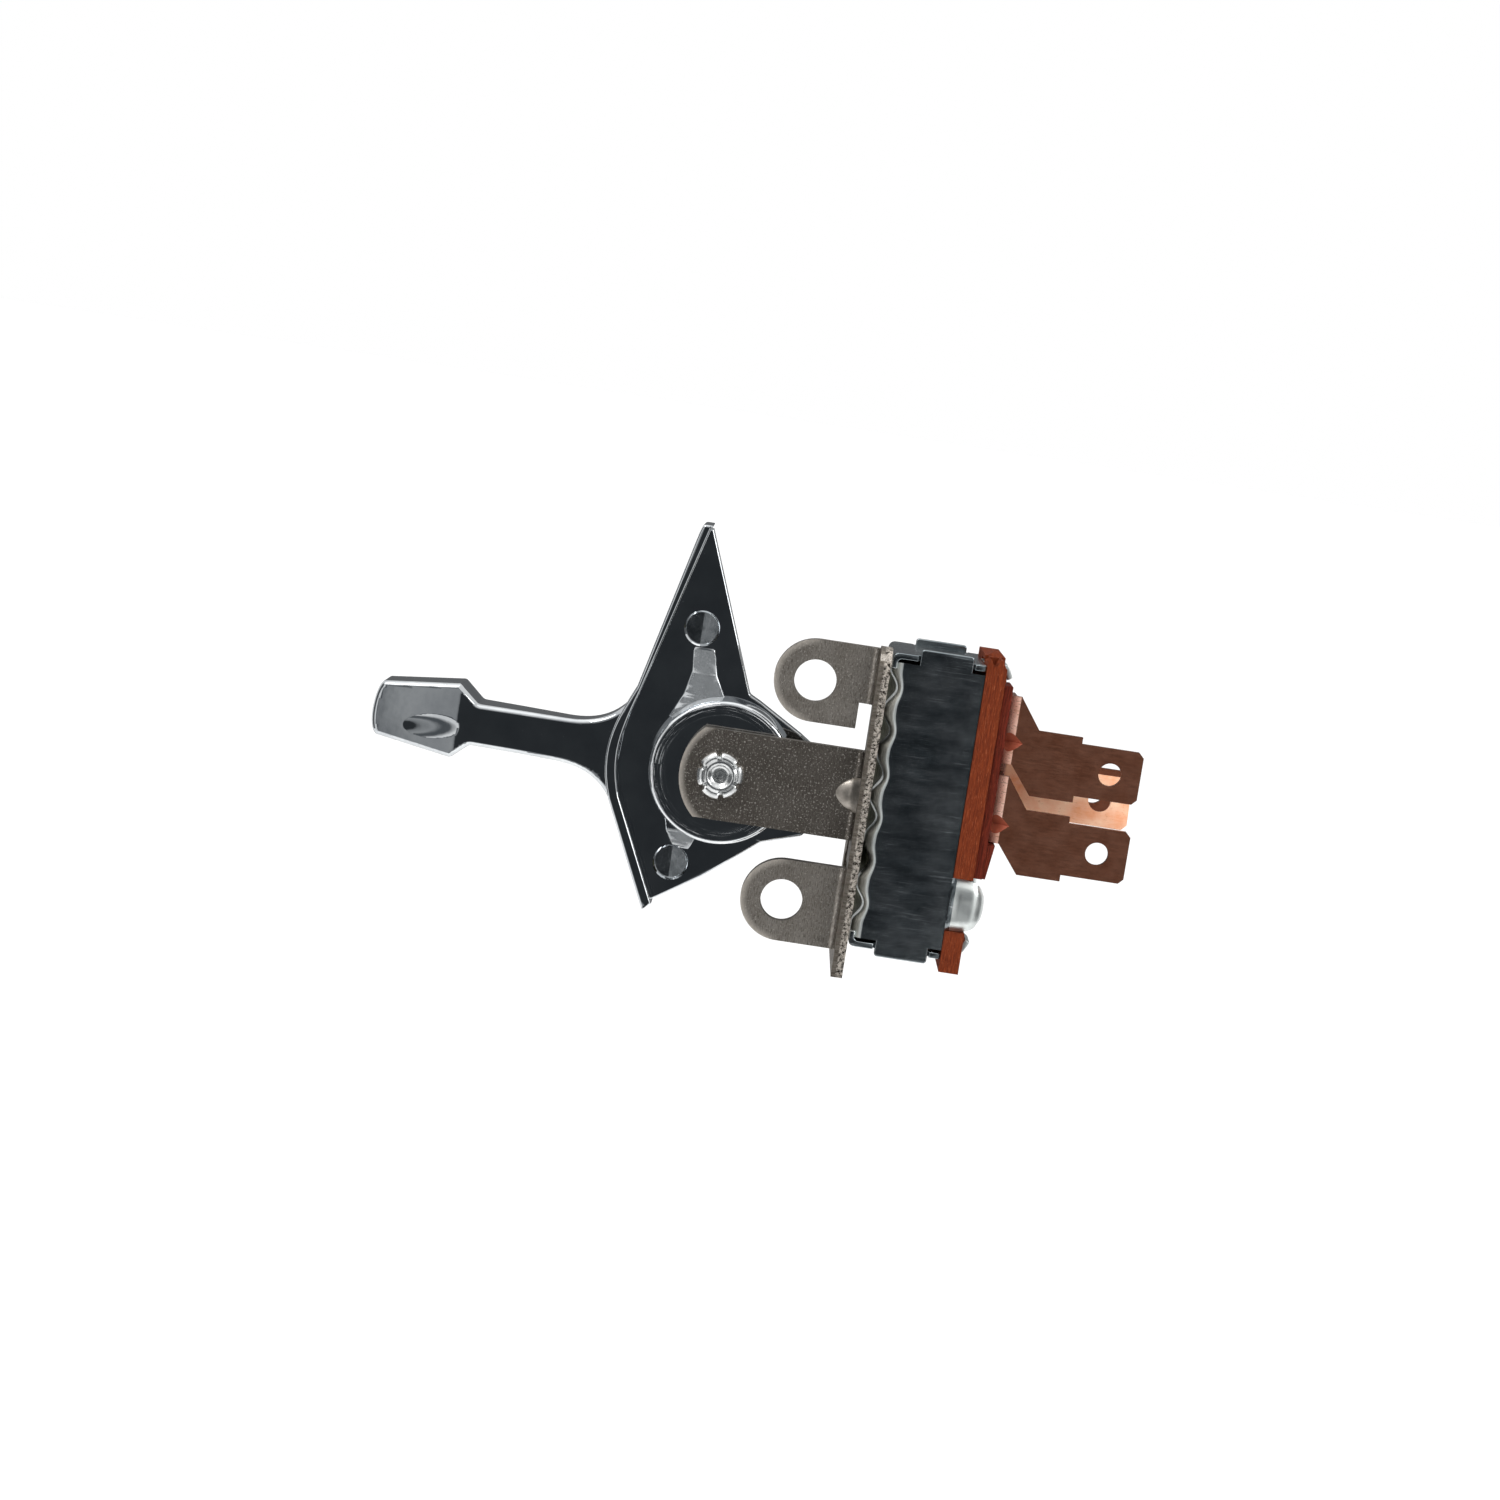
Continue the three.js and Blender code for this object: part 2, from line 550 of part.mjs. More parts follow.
const CARRIAGE = [20.15, 25.4];
const BALL_R = 1.45;
const BALL_X = 21.55;             // ball pushed back just clear of the ridges
const BALL_Y = 5.2;
const WIPER = [27.75, 28.55];
const WIPER_SPRING_Z = 4.2;

function carriagePieces() {
  const HALF_Z = 6.3;
  const HALF_Y = 7.8;
  const BALL_BORE = BALL_R + CLEAR;
  const ballBoreEnd = 24.6;
  const springBoreEnd = 22.4;
  const tailSlot = box([CARRIAGE[0] - 1, TAIL_R + TAIL_END_R + 0.4], [-WEB_HALF_Y - CLEAR, WEB_HALF_Y + CLEAR],
    [-TAIL_END_R - 0.45, TAIL_END_R + 0.45]);
  const springs = [WIPER_SPRING_Z, -WIPER_SPRING_Z];
  const body = cut(
    box(CARRIAGE, [-HALF_Y, HALF_Y], [-HALF_Z, HALF_Z]),
    tailSlot,
    rodX([CARRIAGE[0] - 1, ballBoreEnd], BALL_Y, DETENT_Z, BALL_BORE),
    ...springs.map((z) => rodX([springBoreEnd, CARRIAGE[1] + 1], 0, z, 1.75)),
  );
  const ball = new THREE.SphereGeometry(BALL_R, 20, 12);
  ball.translate(BALL_X, BALL_Y, DETENT_Z);
  const wiper = join(
    box(WIPER, [-6.4, 6.4], [-5.6, 5.6]),
    box([WIPER[0], WIPER[1] + 0.05], [-5.6, -2.0], [-4.8, 4.8]),
    box([WIPER[0], WIPER[1] + 0.05], [2.0, 5.6], [-4.8, 4.8]),
  );
  const names = ['wiper_spring_upper', 'wiper_spring_lower'];
  return [
    piece('contact_carriage', body, FINISH.carriage()),
    piece('detent_ball', solid(ball), FINISH.bright()),
    piece('detent_spring', springX([BALL_X + BALL_R + GAP, ballBoreEnd - GAP], BALL_Y, DETENT_Z, 1.1, 0.16, 4),
      FINISH.steel()),
    piece('wiper_contact', wiper, FINISH.copper()),
    ...springs.map((z, i) => piece(names[i], springX([springBoreEnd + GAP, WIPER[0] - GAP], 0, z, 1.2, 0.2, 6),
      FINISH.steel())),
  ];
}

// ---- assembly -----------------------------------------------------------------------------------

const drawn = new THREE.Group();
drawn.add(
  leverPiece(),
  ...pivotPieces(),
  bracketPiece(),
  housingPiece(),
  boardPiece(),
  spacerPiece(),
  ...TERMINALS.map(terminalPiece),
  ...TERMINALS.map(contactRivetPiece),
  ...carriagePieces(),
);
drawn.position.set(-EAR_HOLE_X, -EAR_OUT, -EAR_CENTRE_Z);

const blowerSwitch = new THREE.Group();
blowerSwitch.add(drawn);

export default blowerSwitch;
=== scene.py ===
"""Lever-operated blower switch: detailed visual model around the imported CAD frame.

Lengths in this file are millimetres measured from the lever's pivot, like the drawing of the
part, and in_frame() or TO_FRAME turns them into the frame's metres.
"""
import math
from contextlib import contextmanager

import bmesh
import bpy
from mathutils import Matrix, Vector


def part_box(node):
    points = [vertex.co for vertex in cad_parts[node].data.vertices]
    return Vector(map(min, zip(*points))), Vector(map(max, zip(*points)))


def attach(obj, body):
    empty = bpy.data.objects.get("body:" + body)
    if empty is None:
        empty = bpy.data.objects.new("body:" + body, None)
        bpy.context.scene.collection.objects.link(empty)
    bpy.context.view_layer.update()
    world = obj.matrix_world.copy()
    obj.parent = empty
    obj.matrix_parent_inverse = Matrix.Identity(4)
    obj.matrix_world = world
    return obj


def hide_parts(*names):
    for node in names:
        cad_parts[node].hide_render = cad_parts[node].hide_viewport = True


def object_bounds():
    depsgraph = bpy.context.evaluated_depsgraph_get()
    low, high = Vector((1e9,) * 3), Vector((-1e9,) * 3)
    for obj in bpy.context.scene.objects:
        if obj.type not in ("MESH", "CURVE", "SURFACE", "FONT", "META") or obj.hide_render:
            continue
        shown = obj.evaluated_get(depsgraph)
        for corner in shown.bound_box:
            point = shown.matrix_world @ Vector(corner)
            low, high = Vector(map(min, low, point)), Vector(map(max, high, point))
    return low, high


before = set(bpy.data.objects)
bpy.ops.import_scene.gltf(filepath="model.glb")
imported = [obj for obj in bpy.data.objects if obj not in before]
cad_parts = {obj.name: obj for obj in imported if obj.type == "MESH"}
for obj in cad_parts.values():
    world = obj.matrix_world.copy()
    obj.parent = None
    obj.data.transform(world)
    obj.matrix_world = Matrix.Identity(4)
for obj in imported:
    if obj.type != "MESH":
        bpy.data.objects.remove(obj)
cad_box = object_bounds()

MM = 0.001

# The pivot's axis locates everything in X and Z. The frame's Y starts at the outer face of the ears.
WASHER_LOW, WASHER_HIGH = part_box("friction_washer")
EAR_FACE_Y = -7.3
ORIGIN = Vector((
    (WASHER_LOW[0] + WASHER_HIGH[0]) / 2,
    -EAR_FACE_Y * MM,
    (WASHER_LOW[2] + WASHER_HIGH[2]) / 2,
))
TO_FRAME = Matrix.Translation(ORIGIN) @ Matrix.Scale(MM, 4)


def in_frame(x, y, z):
    """A point in millimetres from the pivot, in the frame's metres."""
    return ORIGIN + Vector((x, y, z)) * MM


def from_pivot(point):
    """A point of the frame in millimetres from the pivot."""
    return (point - ORIGIN) / MM


# ---- bracket sizes, for its shape and its materials ----------------------------------------------

EAR_END_SCALE = 0.92              # the bearing ear's end is a little blunter than the frame's
BEARING_R = 7.05
MOUNTING_R = 5.0
EAR_ENDS = (                      # centre X and Z, squeeze in X, radius
    (1.7 * EAR_END_SCALE, 0.0, EAR_END_SCALE, BEARING_R),
    (9.6, 13.05, 1.0, MOUNTING_R),
    (9.6, -13.95, 1.0, MOUNTING_R),
)
SHEAR_X = 17.35                   # where the bracket's sheared edge turns from burnished to torn


# ---- node materials ------------------------------------------------------------------------------

def node(tree, kind, inputs=None, **settings):
    """Adds a shader node. An input is a constant or the output socket it is linked to.

    The helpers after this one add their nodes to the tree of the socket or shader they are given.
    """
    made = tree.nodes.new(kind)
    for key, value in settings.items():
        setattr(made, key, value)
    for key, value in (inputs or {}).items():
        if isinstance(value, bpy.types.NodeSocket):
            tree.links.new(value, made.inputs[key])
        else:
            made.inputs[key].default_value = value
    return made


def start_material(name, metallic=0.0):
    """A material with its shader and the object's coordinates in metres."""
    made = bpy.data.materials.new(name)
    made.use_nodes = True
    shader = made.node_tree.nodes["Principled BSDF"]
    shader.inputs["Metallic"].default_value = metallic
    coords = node(made.node_tree, "ShaderNodeTexCoord").outputs["Object"]
    return made, shader, coords


def stretched(coords, scale=(1, 1, 1)):
    """Object coordinates in millimetres times a scale per axis: the larger, the finer the grain."""
    inputs = {"Vector": coords, "Scale": [size / MM for size in scale]}
    return node(coords.id_data, "ShaderNodeMapping", inputs).outputs["Vector"]


def noise(vector, scale, detail, rough=0.55):
    inputs = {"Vector": vector, "Scale": scale, "Detail": detail, "Roughness": rough}
    return node(vector.id_data, "ShaderNodeTexNoise", inputs).outputs["Fac"]


def remap(value, low, high, to_low=0.0, to_high=1.0):
    inputs = {"Value": value, "From Min": low, "From Max": high, "To Min": to_low, "To Max": to_high}
    return node(value.id_data, "ShaderNodeMapRange", inputs).outputs["Result"]


def mix(factor, a, b):
    """Mixes two colours by the factor's socket; each is an RGB triple or a colour socket."""
    inputs = {0: factor}
    for key, value in ((6, a), (7, b)):
        inputs[key] = value if isinstance(value, bpy.types.NodeSocket) else (*value, 1.0)
    return node(factor.id_data, "ShaderNodeMix", inputs, data_type="RGBA", blend_type="MIX").outputs[2]


def multiply(a, b):
    return node(a.id_data, "ShaderNodeMath", {0: a, 1: b}, operation="MULTIPLY").outputs[0]


def bump(shader, height, distance_mm, strength, under=None):
    """Height bump of the given depth, on top of an earlier bump if there is one."""
    inputs = {"Height": height, "Distance": distance_mm * MM, "Strength": strength}
    if under is not None:
        inputs["Normal"] = under
    made = node(shader.id_data, "ShaderNodeBump", inputs).outputs["Normal"]
    link(shader, Normal=made)
    return made


def link(shader, **sockets):
    """Links sockets to the shader's inputs of the same names."""
    for key, value in sockets.items():
        shader.id_data.links.new(value, shader.inputs[key.replace("_", " ")])


def offset_from(vector, centre):
    inputs = {0: vector, 1: centre}
    return node(vector.id_data, "ShaderNodeVectorMath", inputs, operation="SUBTRACT").outputs[0]


def length(vector):
    return node(vector.id_data, "ShaderNodeVectorMath", {0: vector}, operation="LENGTH").outputs["Value"]


def turning_marks(plain):
    """Short circular scratches round the pivot, 0 to 1, where the bearing ear rubs on the hub."""
    tree = plain.id_data
    around = offset_from(plain, ORIGIN / MM)
    axes = node(tree, "ShaderNodeSeparateXYZ", {0: around}).outputs
    angle = node(tree, "ShaderNodeMath", {0: axes[2], 1: axes[0]}, operation="ARCTAN2").outputs[0]
    radius = length(node(tree, "ShaderNodeCombineXYZ", {0: axes[0], 1: axes[2]}).outputs[0])
    polar = node(tree, "ShaderNodeCombineXYZ",
                 {0: multiply(radius, 5.0), 1: multiply(angle, 1.2)}).outputs[0]
    marks = remap(noise(polar, 1.0, 5.0, 0.7), 0.50, 0.64)
    on_hub = multiply(remap(radius, 6.4, 8.2), remap(radius, 8.8, 8.5))
    return multiply(marks, on_hub)


def chrome_material():
    """Bright plating over a polished casting: slow waves of the casting, hairline scratches."""
    made, shader, coords = start_material("chrome_plate", 1.0)
    plain = stretched(coords)
    cloud = noise(plain, 0.22, 3.0)
    fine = noise(plain, 3.0, 5.0)
    hairs = noise(stretched(coords, (0.35, 1, 6.0)), 1.2, 6.0, 0.7)
    tone = mix(remap(cloud, 0.35, 0.65), (0.48, 0.50, 0.52), (0.60, 0.62, 0.63))
    scratch = remap(hairs, 0.66, 0.74)
    tone = mix(multiply(scratch, 0.25), tone, (0.8, 0.82, 0.84))
    turned = turning_marks(plain)
    tone = mix(turned, tone, (0.95, 0.96, 0.97))
    rough = remap(turned, 0.0, 1.0, 0.05, 0.55)
    link(shader, Base_Color=tone, Roughness=rough)
    under = bump(shader, cloud, 0.08, 0.25)
    under = bump(shader, fine, 0.004, 0.2, under)
    bump(shader, hairs, 0.004, 0.25, under)
    return made


def painted_rim_highlight(plain, centre_x, centre_z, squeeze, radius):
    """The rim of a rounded ear, 0 to 0.8, where its rolled-over edge gets a painted highlight."""
    offset = offset_from(plain, ORIGIN / MM + Vector((centre_x, 0, centre_z)))
    tree = plain.id_data
    flat = node(tree, "ShaderNodeVectorMath", {0: offset, 1: (1 / squeeze, 0, 1)}, operation="MULTIPLY")
    away = length(flat.outputs[0])
    across = node(tree, "ShaderNodeSeparateXYZ", {0: offset}).outputs[0]
    on_end = remap(across, 0.5, -1.5)
    inside = remap(away, radius + 0.6, radius + 0.3)
    near_rim = remap(away, radius - 0.85, radius - 0.1)
    return multiply(multiply(near_rim, multiply(on_end, inside)), 0.8)


def nickel_material():
    """Dull nickel on sheet steel: vertical rolling grain, pits, the bearing ear darker as painted shade,
    painted highlights on the ears' rims.
    """
    made, shader, coords = start_material("nickel_steel", 1.0)
    plain = stretched(coords)
    grain = noise(stretched(coords, (9.0, 9.0, 1.4)), 1.0, 4.0, 0.6)
    pits = noise(plain, 4.2, 3.0, 0.6)
    cloud = noise(plain, 0.25, 3.0)
    tree = made.node_tree
    height = node(tree, "ShaderNodeSeparateXYZ", {0: offset_from(plain, ORIGIN / MM)}).outputs[2]
    height = node(tree, "ShaderNodeMath", {0: height}, operation="ABSOLUTE").outputs[0]
    # Painted shade: the bearing ear, nearest the pivot, gets darker tones than the outer ears.
    ears = remap(height, 5.5, 9.0)
    dark = mix(ears, (0.13, 0.115, 0.098), (0.30, 0.27, 0.235))
    light = mix(ears, (0.20, 0.18, 0.158), (0.42, 0.385, 0.345))
    tone = mix(remap(cloud, 0.3, 0.7), dark, light)
    tone = mix(remap(grain, 0.44, 0.66, 0.0, 0.8), tone, (0.060, 0.052, 0.045))
    tone = mix(remap(pits, 0.57, 0.66, 0.0, 0.9), tone, (0.62, 0.58, 0.53))
    # Painted highlight: each ear's rounded rim is painted lighter, as if its rolled edge caught the
    # light.
    for ear_end in EAR_ENDS:
        tone = mix(painted_rim_highlight(plain, *ear_end), tone, (0.80, 0.73, 0.65))
    rough = remap(grain, 0.3, 0.7, 0.30, 0.48)
    link(shader, Base_Color=tone, Roughness=rough)
    under = bump(shader, grain, 0.02, 0.6)
    bump(shader, pits, 0.03, 0.8, under)
    return made


def sheared_material():
    """Sheared edge of the bracket: burnished band, then the torn, grainy band."""
    made, shader, coords = start_material("sheared_edge", 1.0)
    plain = stretched(coords)
    specks = noise(plain, 2.4, 5.0, 0.75)
    streak = noise(stretched(coords, (0.6, 1, 3.0)), 1.5, 4.0, 0.6)
    torn = mix(remap(specks, 0.42, 0.58), (0.020, 0.016, 0.013), (0.55, 0.50, 0.44))
    burnish = mix(remap(streak, 0.3, 0.7), (0.075, 0.062, 0.050), (0.20, 0.18, 0.155))
    across = node(made.node_tree, "ShaderNodeSeparateXYZ", {0: plain}).outputs[0]
    middle = ORIGIN.x / MM + SHEAR_X
    tone = mix(remap(across, middle - 0.1, middle + 0.1), burnish, torn)
    link(shader, Base_Color=tone, Roughness=remap(specks, 0.3, 0.7, 0.35, 0.6))
    bump(shader, specks, 0.09, 0.8)
    return made


def zinc_material(name, dark, light, rough_low, rough_high):
    """Blue-grey passivated sheet steel, nearly a mirror, with rolling streaks, specks and scratches."""
    made, shader, coords = start_material(name, 1.0)
    plain = stretched(coords)
    cloud = noise(plain, 0.18, 4.0, 0.6)
    specks = noise(plain, 5.0, 3.0, 0.6)
    rolled = noise(stretched(coords, (0.25, 0.8, 0.8)), 1.0, 4.0, 0.6)
    cross = noise(stretched(coords, (0.30, 1, 7.0)), 0.8, 3.0, 0.6)
    tone = mix(remap(cloud, 0.32, 0.68), dark, light)
    tone = mix(remap(specks, 0.68, 0.74, 0.0, 0.9), tone, (0.80, 0.82, 0.82))
    tone = mix(remap(cross, 0.61, 0.70, 0.0, 0.6), tone, (0.72, 0.75, 0.76))
    link(shader, Base_Color=tone, Roughness=remap(rolled, 0.3, 0.75, rough_low, rough_high))
    under = bump(shader, cloud, 0.15, 0.25)
    bump(shader, rolled, 0.006, 0.3, under)
    return made


def copper_material(name, dark, light, spot, rough_low, rough_high, metallic=1.0):
    """Rolled copper: fine rolling lines, soft tarnish clouds and small darker spots."""
    made, shader, coords = start_material(name, metallic)
    plain = stretched(coords)
    cloud = noise(plain, 0.35, 5.0, 0.6)
    spots = noise(plain, 2.6, 4.0, 0.6)
    rolled = noise(stretched(coords, (0.8, 6.0, 6.0)), 1.0, 4.0, 0.6)
    tone = mix(remap(cloud, 0.32, 0.68), dark, light)
    tone = mix(remap(spots, 0.60, 0.72, 0.0, 0.55), tone, spot)
    tone = mix(remap(rolled, 0.45, 0.75, 0.0, 0.30), tone, light)
    link(shader, Base_Color=tone, Roughness=remap(rolled, 0.3, 0.7, rough_low, rough_high))
    under = bump(shader, rolled, 0.010, 0.5)
    bump(shader, spots, 0.02, 0.3, under)
    return made


def steel_material(name, dark, light, rough_low, rough_high):
    """Plain formed or drawn steel."""
    made, shader, coords = start_material(name, 1.0)
    plain = stretched(coords)
    marks = noise(plain, 3.5, 5.0, 0.65)
    cloud = noise(plain, 0.8, 3.0)
    tone = mix(remap(cloud, 0.3, 0.7), dark, light)
    link(shader, Base_Color=tone, Roughness=remap(marks, 0.3, 0.7, rough_low, rough_high))
    bump(shader, marks, 0.02, 0.5)
    return made


def laminate_material(name, dark, light, fibre, rough):
    """A dull surface in layers, which show as lines along cut edges, with loose fibres or dirt."""
    made, shader, coords = start_material(name)
    shader.inputs["Roughness"].default_value = rough
    shader.inputs["Specular IOR Level"].default_value = 0.08
    layers = noise(stretched(coords, (9.0, 0.5, 0.5)), 1.0, 4.0, 0.65)
    fibres = noise(stretched(coords, (5.0, 1.2, 0.8)), 1.6, 6.0, 0.75)
    blotch = noise(stretched(coords), 0.8, 4.0, 0.6)
    tone = mix(remap(layers, 0.35, 0.65), dark, light)
    tone = mix(remap(fibres, 0.56, 0.70, 0.0, 0.7), tone, fibre)
    tone = mix(remap(blotch, 0.55, 0.75, 0.0, 0.5), tone, dark)
    link(shader, Base_Color=tone)
    under = bump(shader, layers, 0.06, 0.6)
    bump(shader, fibres, 0.10, 0.8, under)
    return made


def resin_material():
    """Black moulded resin."""
    made, shader, coords = start_material("carriage_resin")
    plain = stretched(coords)
    grain = noise(plain, 5.0, 4.0, 0.6)
    cloud = noise(plain, 0.5, 3.0)
    tone = mix(remap(cloud, 0.3, 0.7), (0.018, 0.016, 0.015), (0.035, 0.032, 0.030))
    link(shader, Base_Color=tone, Roughness=remap(grain, 0.3, 0.7, 0.42, 0.62))
    bump(shader, grain, 0.02, 0.4)
    return made


CHROME = chrome_material()
NICKEL = nickel_material()
SHEARED = sheared_material()
ZINC = zinc_material("zinc_steel", (0.17, 0.20, 0.215), (0.33, 0.36, 0.37), 0.13, 0.24)
# Painted highlight: a lighter copy of the zinc for the bends and the crimp tongues.
ZINC_BEND_HIGHLIGHT = zinc_material("zinc_bend_painted_highlight", (0.50, 0.53, 0.52), (0.72, 0.75, 0.73), 0.28, 0.42)
# Painted shade: a dark olive non-metal for the base's faces towards the bracket, seen in the gaps
# between the dents.
ZINC_BASE_SHADE = laminate_material(
    "zinc_base_painted_shade", (0.035, 0.036, 0.022), (0.085, 0.087, 0.060), (0.15, 0.155, 0.12), 0.6)
COPPER = copper_material(
    "copper", (0.135, 0.052, 0.030), (0.185, 0.082, 0.053), (0.085, 0.036, 0.023), 0.38, 0.52)
# Painted highlight: a lighter, partly matte copy of the copper for the blades' bends.
COPPER_BEND_HIGHLIGHT = copper_material(
    "copper_bend_painted_highlight", (0.62, 0.30, 0.20), (0.88, 0.56, 0.45), (0.36, 0.12, 0.07), 0.24, 0.36, 0.45)
# Blade c: fresher copper, plus a painted highlight from a light, mostly matte copy that looks lit.
COPPER_FRESH_AND_LIT = copper_material(
    "bright_copper", (0.86, 0.36, 0.18), (1.0, 0.66, 0.46), (0.66, 0.26, 0.12), 0.26, 0.40, 0.2)
# Painted shade: a deeper red copy of the copper for the faces in a blade's pressed notch.
COPPER_NOTCH_SHADE = copper_material(
    "copper_notch_painted_shade", (0.28, 0.055, 0.025), (0.42, 0.11, 0.06), (0.16, 0.03, 0.015), 0.40, 0.55, 0.3)
CONTACT = copper_material(
    "contact_metal", (0.62, 0.42, 0.28), (0.78, 0.58, 0.42), (0.45, 0.30, 0.20), 0.25, 0.4)
BRIGHT = steel_material("bright_steel", (0.46, 0.47, 0.47), (0.66, 0.67, 0.67), 0.16, 0.30)
CAST = steel_material("plated_cast_skin", (0.32, 0.34, 0.35), (0.60, 0.62, 0.63), 0.07, 0.18)
SATIN = steel_material("plated_satin", (0.50, 0.52, 0.53), (0.60, 0.62, 0.63), 0.20, 0.28)
DART = steel_material("burnished_nickel", (0.18, 0.165, 0.145), (0.36, 0.33, 0.295), 0.30, 0.44)
SPRING = steel_material("spring_steel", (0.45, 0.46, 0.48), (0.62, 0.63, 0.65), 0.22, 0.36)
PHENOLIC = laminate_material(
    "phenolic_board", (0.065, 0.010, 0.003), (0.155, 0.028, 0.007), (0.33, 0.095, 0.040), 0.8)
INSULATOR = laminate_material(
    "insulator", (0.040, 0.005, 0.002), (0.12, 0.015, 0.006), (0.22, 0.045, 0.02), 0.7)
RESIN = resin_material()

# ---- mesh helpers --------------------------------------------------------------------------------

SMOOTH_LIMIT = math.radians(32)


def placed(name, data):
    """A new object in the scene that holds a mesh, curve, lamp or camera."""
    made = bpy.data.objects.new(name, data)
    bpy.context.scene.collection.objects.link(made)
    return made


def mesh_of(work, name):
    """Turns a bmesh that is finished with into a mesh."""
    mesh = bpy.data.meshes.new(name)
    work.to_mesh(mesh)
    work.free()
    return mesh


@contextmanager
def editing(mesh):
    """Lends the mesh as a bmesh and writes it back."""
    work = bmesh.new()
    work.from_mesh(mesh)
    yield work
    work.to_mesh(mesh)
    work.free()


def grid_faces(work, grid):
    """Joins the rows of a grid of vertices with quads."""
    for row, after in zip(grid, grid[1:]):
        for k in range(len(row) - 1):
            work.faces.new((row[k], after[k], after[k + 1], row[k + 1]))


def smooth_by_angle(mesh, limit=SMOOTH_LIMIT):
    """Smooth shading, broken along every edge that turns more than the limit."""
    with editing(mesh) as work:
        for face in work.faces:
            face.smooth = True
        for edge in work.edges:
            edge.smooth = len(edge.link_faces) == 2 and edge.calc_face_angle(0.0) < limit


def new_piece(name, mesh, body, slot, materials):
    made = placed(name, mesh)
    mesh.materials.clear()
    for material in materials:
        mesh.materials.append(material)
    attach(made, body)
    return made


def evaluated_mesh(made):
    """An object's mesh with its modifiers applied."""
    depsgraph = bpy.context.evaluated_depsgraph_get()
    return bpy.data.meshes.new_from_object(made.evaluated_get(depsgraph))


def thickened(mesh, thickness_mm, even):
    """A sheet given its thickness on the side that its normals point away from."""
    holder = placed(mesh.name, mesh)
    solid = holder.modifiers.new("thickness", "SOLIDIFY")
    solid.thickness = thickness_mm
    solid.offset = -1
    solid.use_even_offset = even
    done = evaluated_mesh(holder)
    bpy.data.objects.remove(holder)
    return done


def paint(made, pick):
    """Sets each face's material slot to pick(place, normal), the place in millimetres."""
    for face in made.data.polygons:
        face.material_index = pick(from_pivot(face.center), face.normal)


def bevel(made, width_mm, segments, limit_degrees=40):
    """Rounds the edges that turn more than the limit."""
    modifier = made.modifiers.new("edges", "BEVEL")
    modifier.width = width_mm * MM
    modifier.segments = segments
    modifier.limit_method = "ANGLE"
    modifier.angle_limit = math.radians(limit_degrees)
    modifier.use_clamp_overlap = True
    modifier.harden_normals = True


def refined(node_name, body, slot, material, width_mm=0.1, segments=2, limit_degrees=40):
    """A copy of a CAD node with its flats merged and its edges rounded, standing for the node."""
    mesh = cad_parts[node_name].data.copy()
    flat = math.radians(0.6)
    with editing(mesh) as work:
        bmesh.ops.remove_doubles(work, verts=work.verts, dist=1e-6)
        bmesh.ops.dissolve_limit(work, angle_limit=flat, verts=work.verts, edges=work.edges)
    smooth_by_angle(mesh)
    made = new_piece(node_name + "_fine", mesh, body, slot, [material])
    bevel(made, width_mm, segments, limit_degrees)
    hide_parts(node_name)
    return made


# ---- outline helpers -----------------------------------------------------------------------------

def bezier(a, b, c, d, steps=14):
    """Points after a along a cubic curve to d."""
    points = []
    for i in range(1, steps + 1):
        t = i / steps
        s = 1 - t
        points.append(tuple(s ** 3 * a[k] + 3 * s * s * t * b[k] + 3 * s * t * t * c[k] + t ** 3 * d[k]
                            for k in (0, 1)))
    return points


def filleted(corners, steps=6):
    """A closed outline from (x, z, radius) corners, each rounded by its radius."""
    outline = []
    count = len(corners)
    for i, (x, z, radius) in enumerate(corners):
        here = Vector((x, z))
        if radius <= 0:
            outline.append((x, z))
            continue
        before = Vector(corners[i - 1][:2]) - here
        after = Vector(corners[(i + 1) % count][:2]) - here
        angle = before.angle(after)
        reach = min(radius / math.tan(angle / 2), before.length * 0.49, after.length * 0.49)
        start = here + before.normalized() * reach
        end = here + after.normalized() * reach
        for k in range(steps + 1):
            t = k / steps
            point = start * (1 - t) ** 2 + here * 2 * t * (1 - t) + end * t * t
            outline.append((point.x, point.y))
    return outline


def slab_mesh(name, outline, low_y, high_y, rounding, steps=3):
    """A plate in X and Z between two Y values, its edges rounded."""
    curve = bpy.data.curves.new(name, "CURVE")
    curve.dimensions = "2D"
    curve.fill_mode = "BOTH"
    spline = curve.splines.new("POLY")
    spline.points.add(len(outline) - 1)
    for point, (x, z) in zip(spline.points, outline):
        point.co = (x, z, 0, 1)
    spline.use_cyclic_u = True
    curve.extrude = (high_y - low_y) / 2 - rounding
    curve.bevel_depth = rounding
    curve.bevel_resolution = steps
    curve.offset = -rounding
    holder = placed(name, curve)
    mesh = evaluated_mesh(holder)
    bpy.data.objects.remove(holder)
    bpy.data.curves.remove(curve)
    middle = (low_y + high_y) / 2
    with editing(mesh) as work:
        for vertex in work.verts:
            x, z, y = vertex.co
            vertex.co = Vector((x, middle - y, z))
        bmesh.ops.remove_doubles(work, verts=work.verts, dist=1e-4)
    return mesh


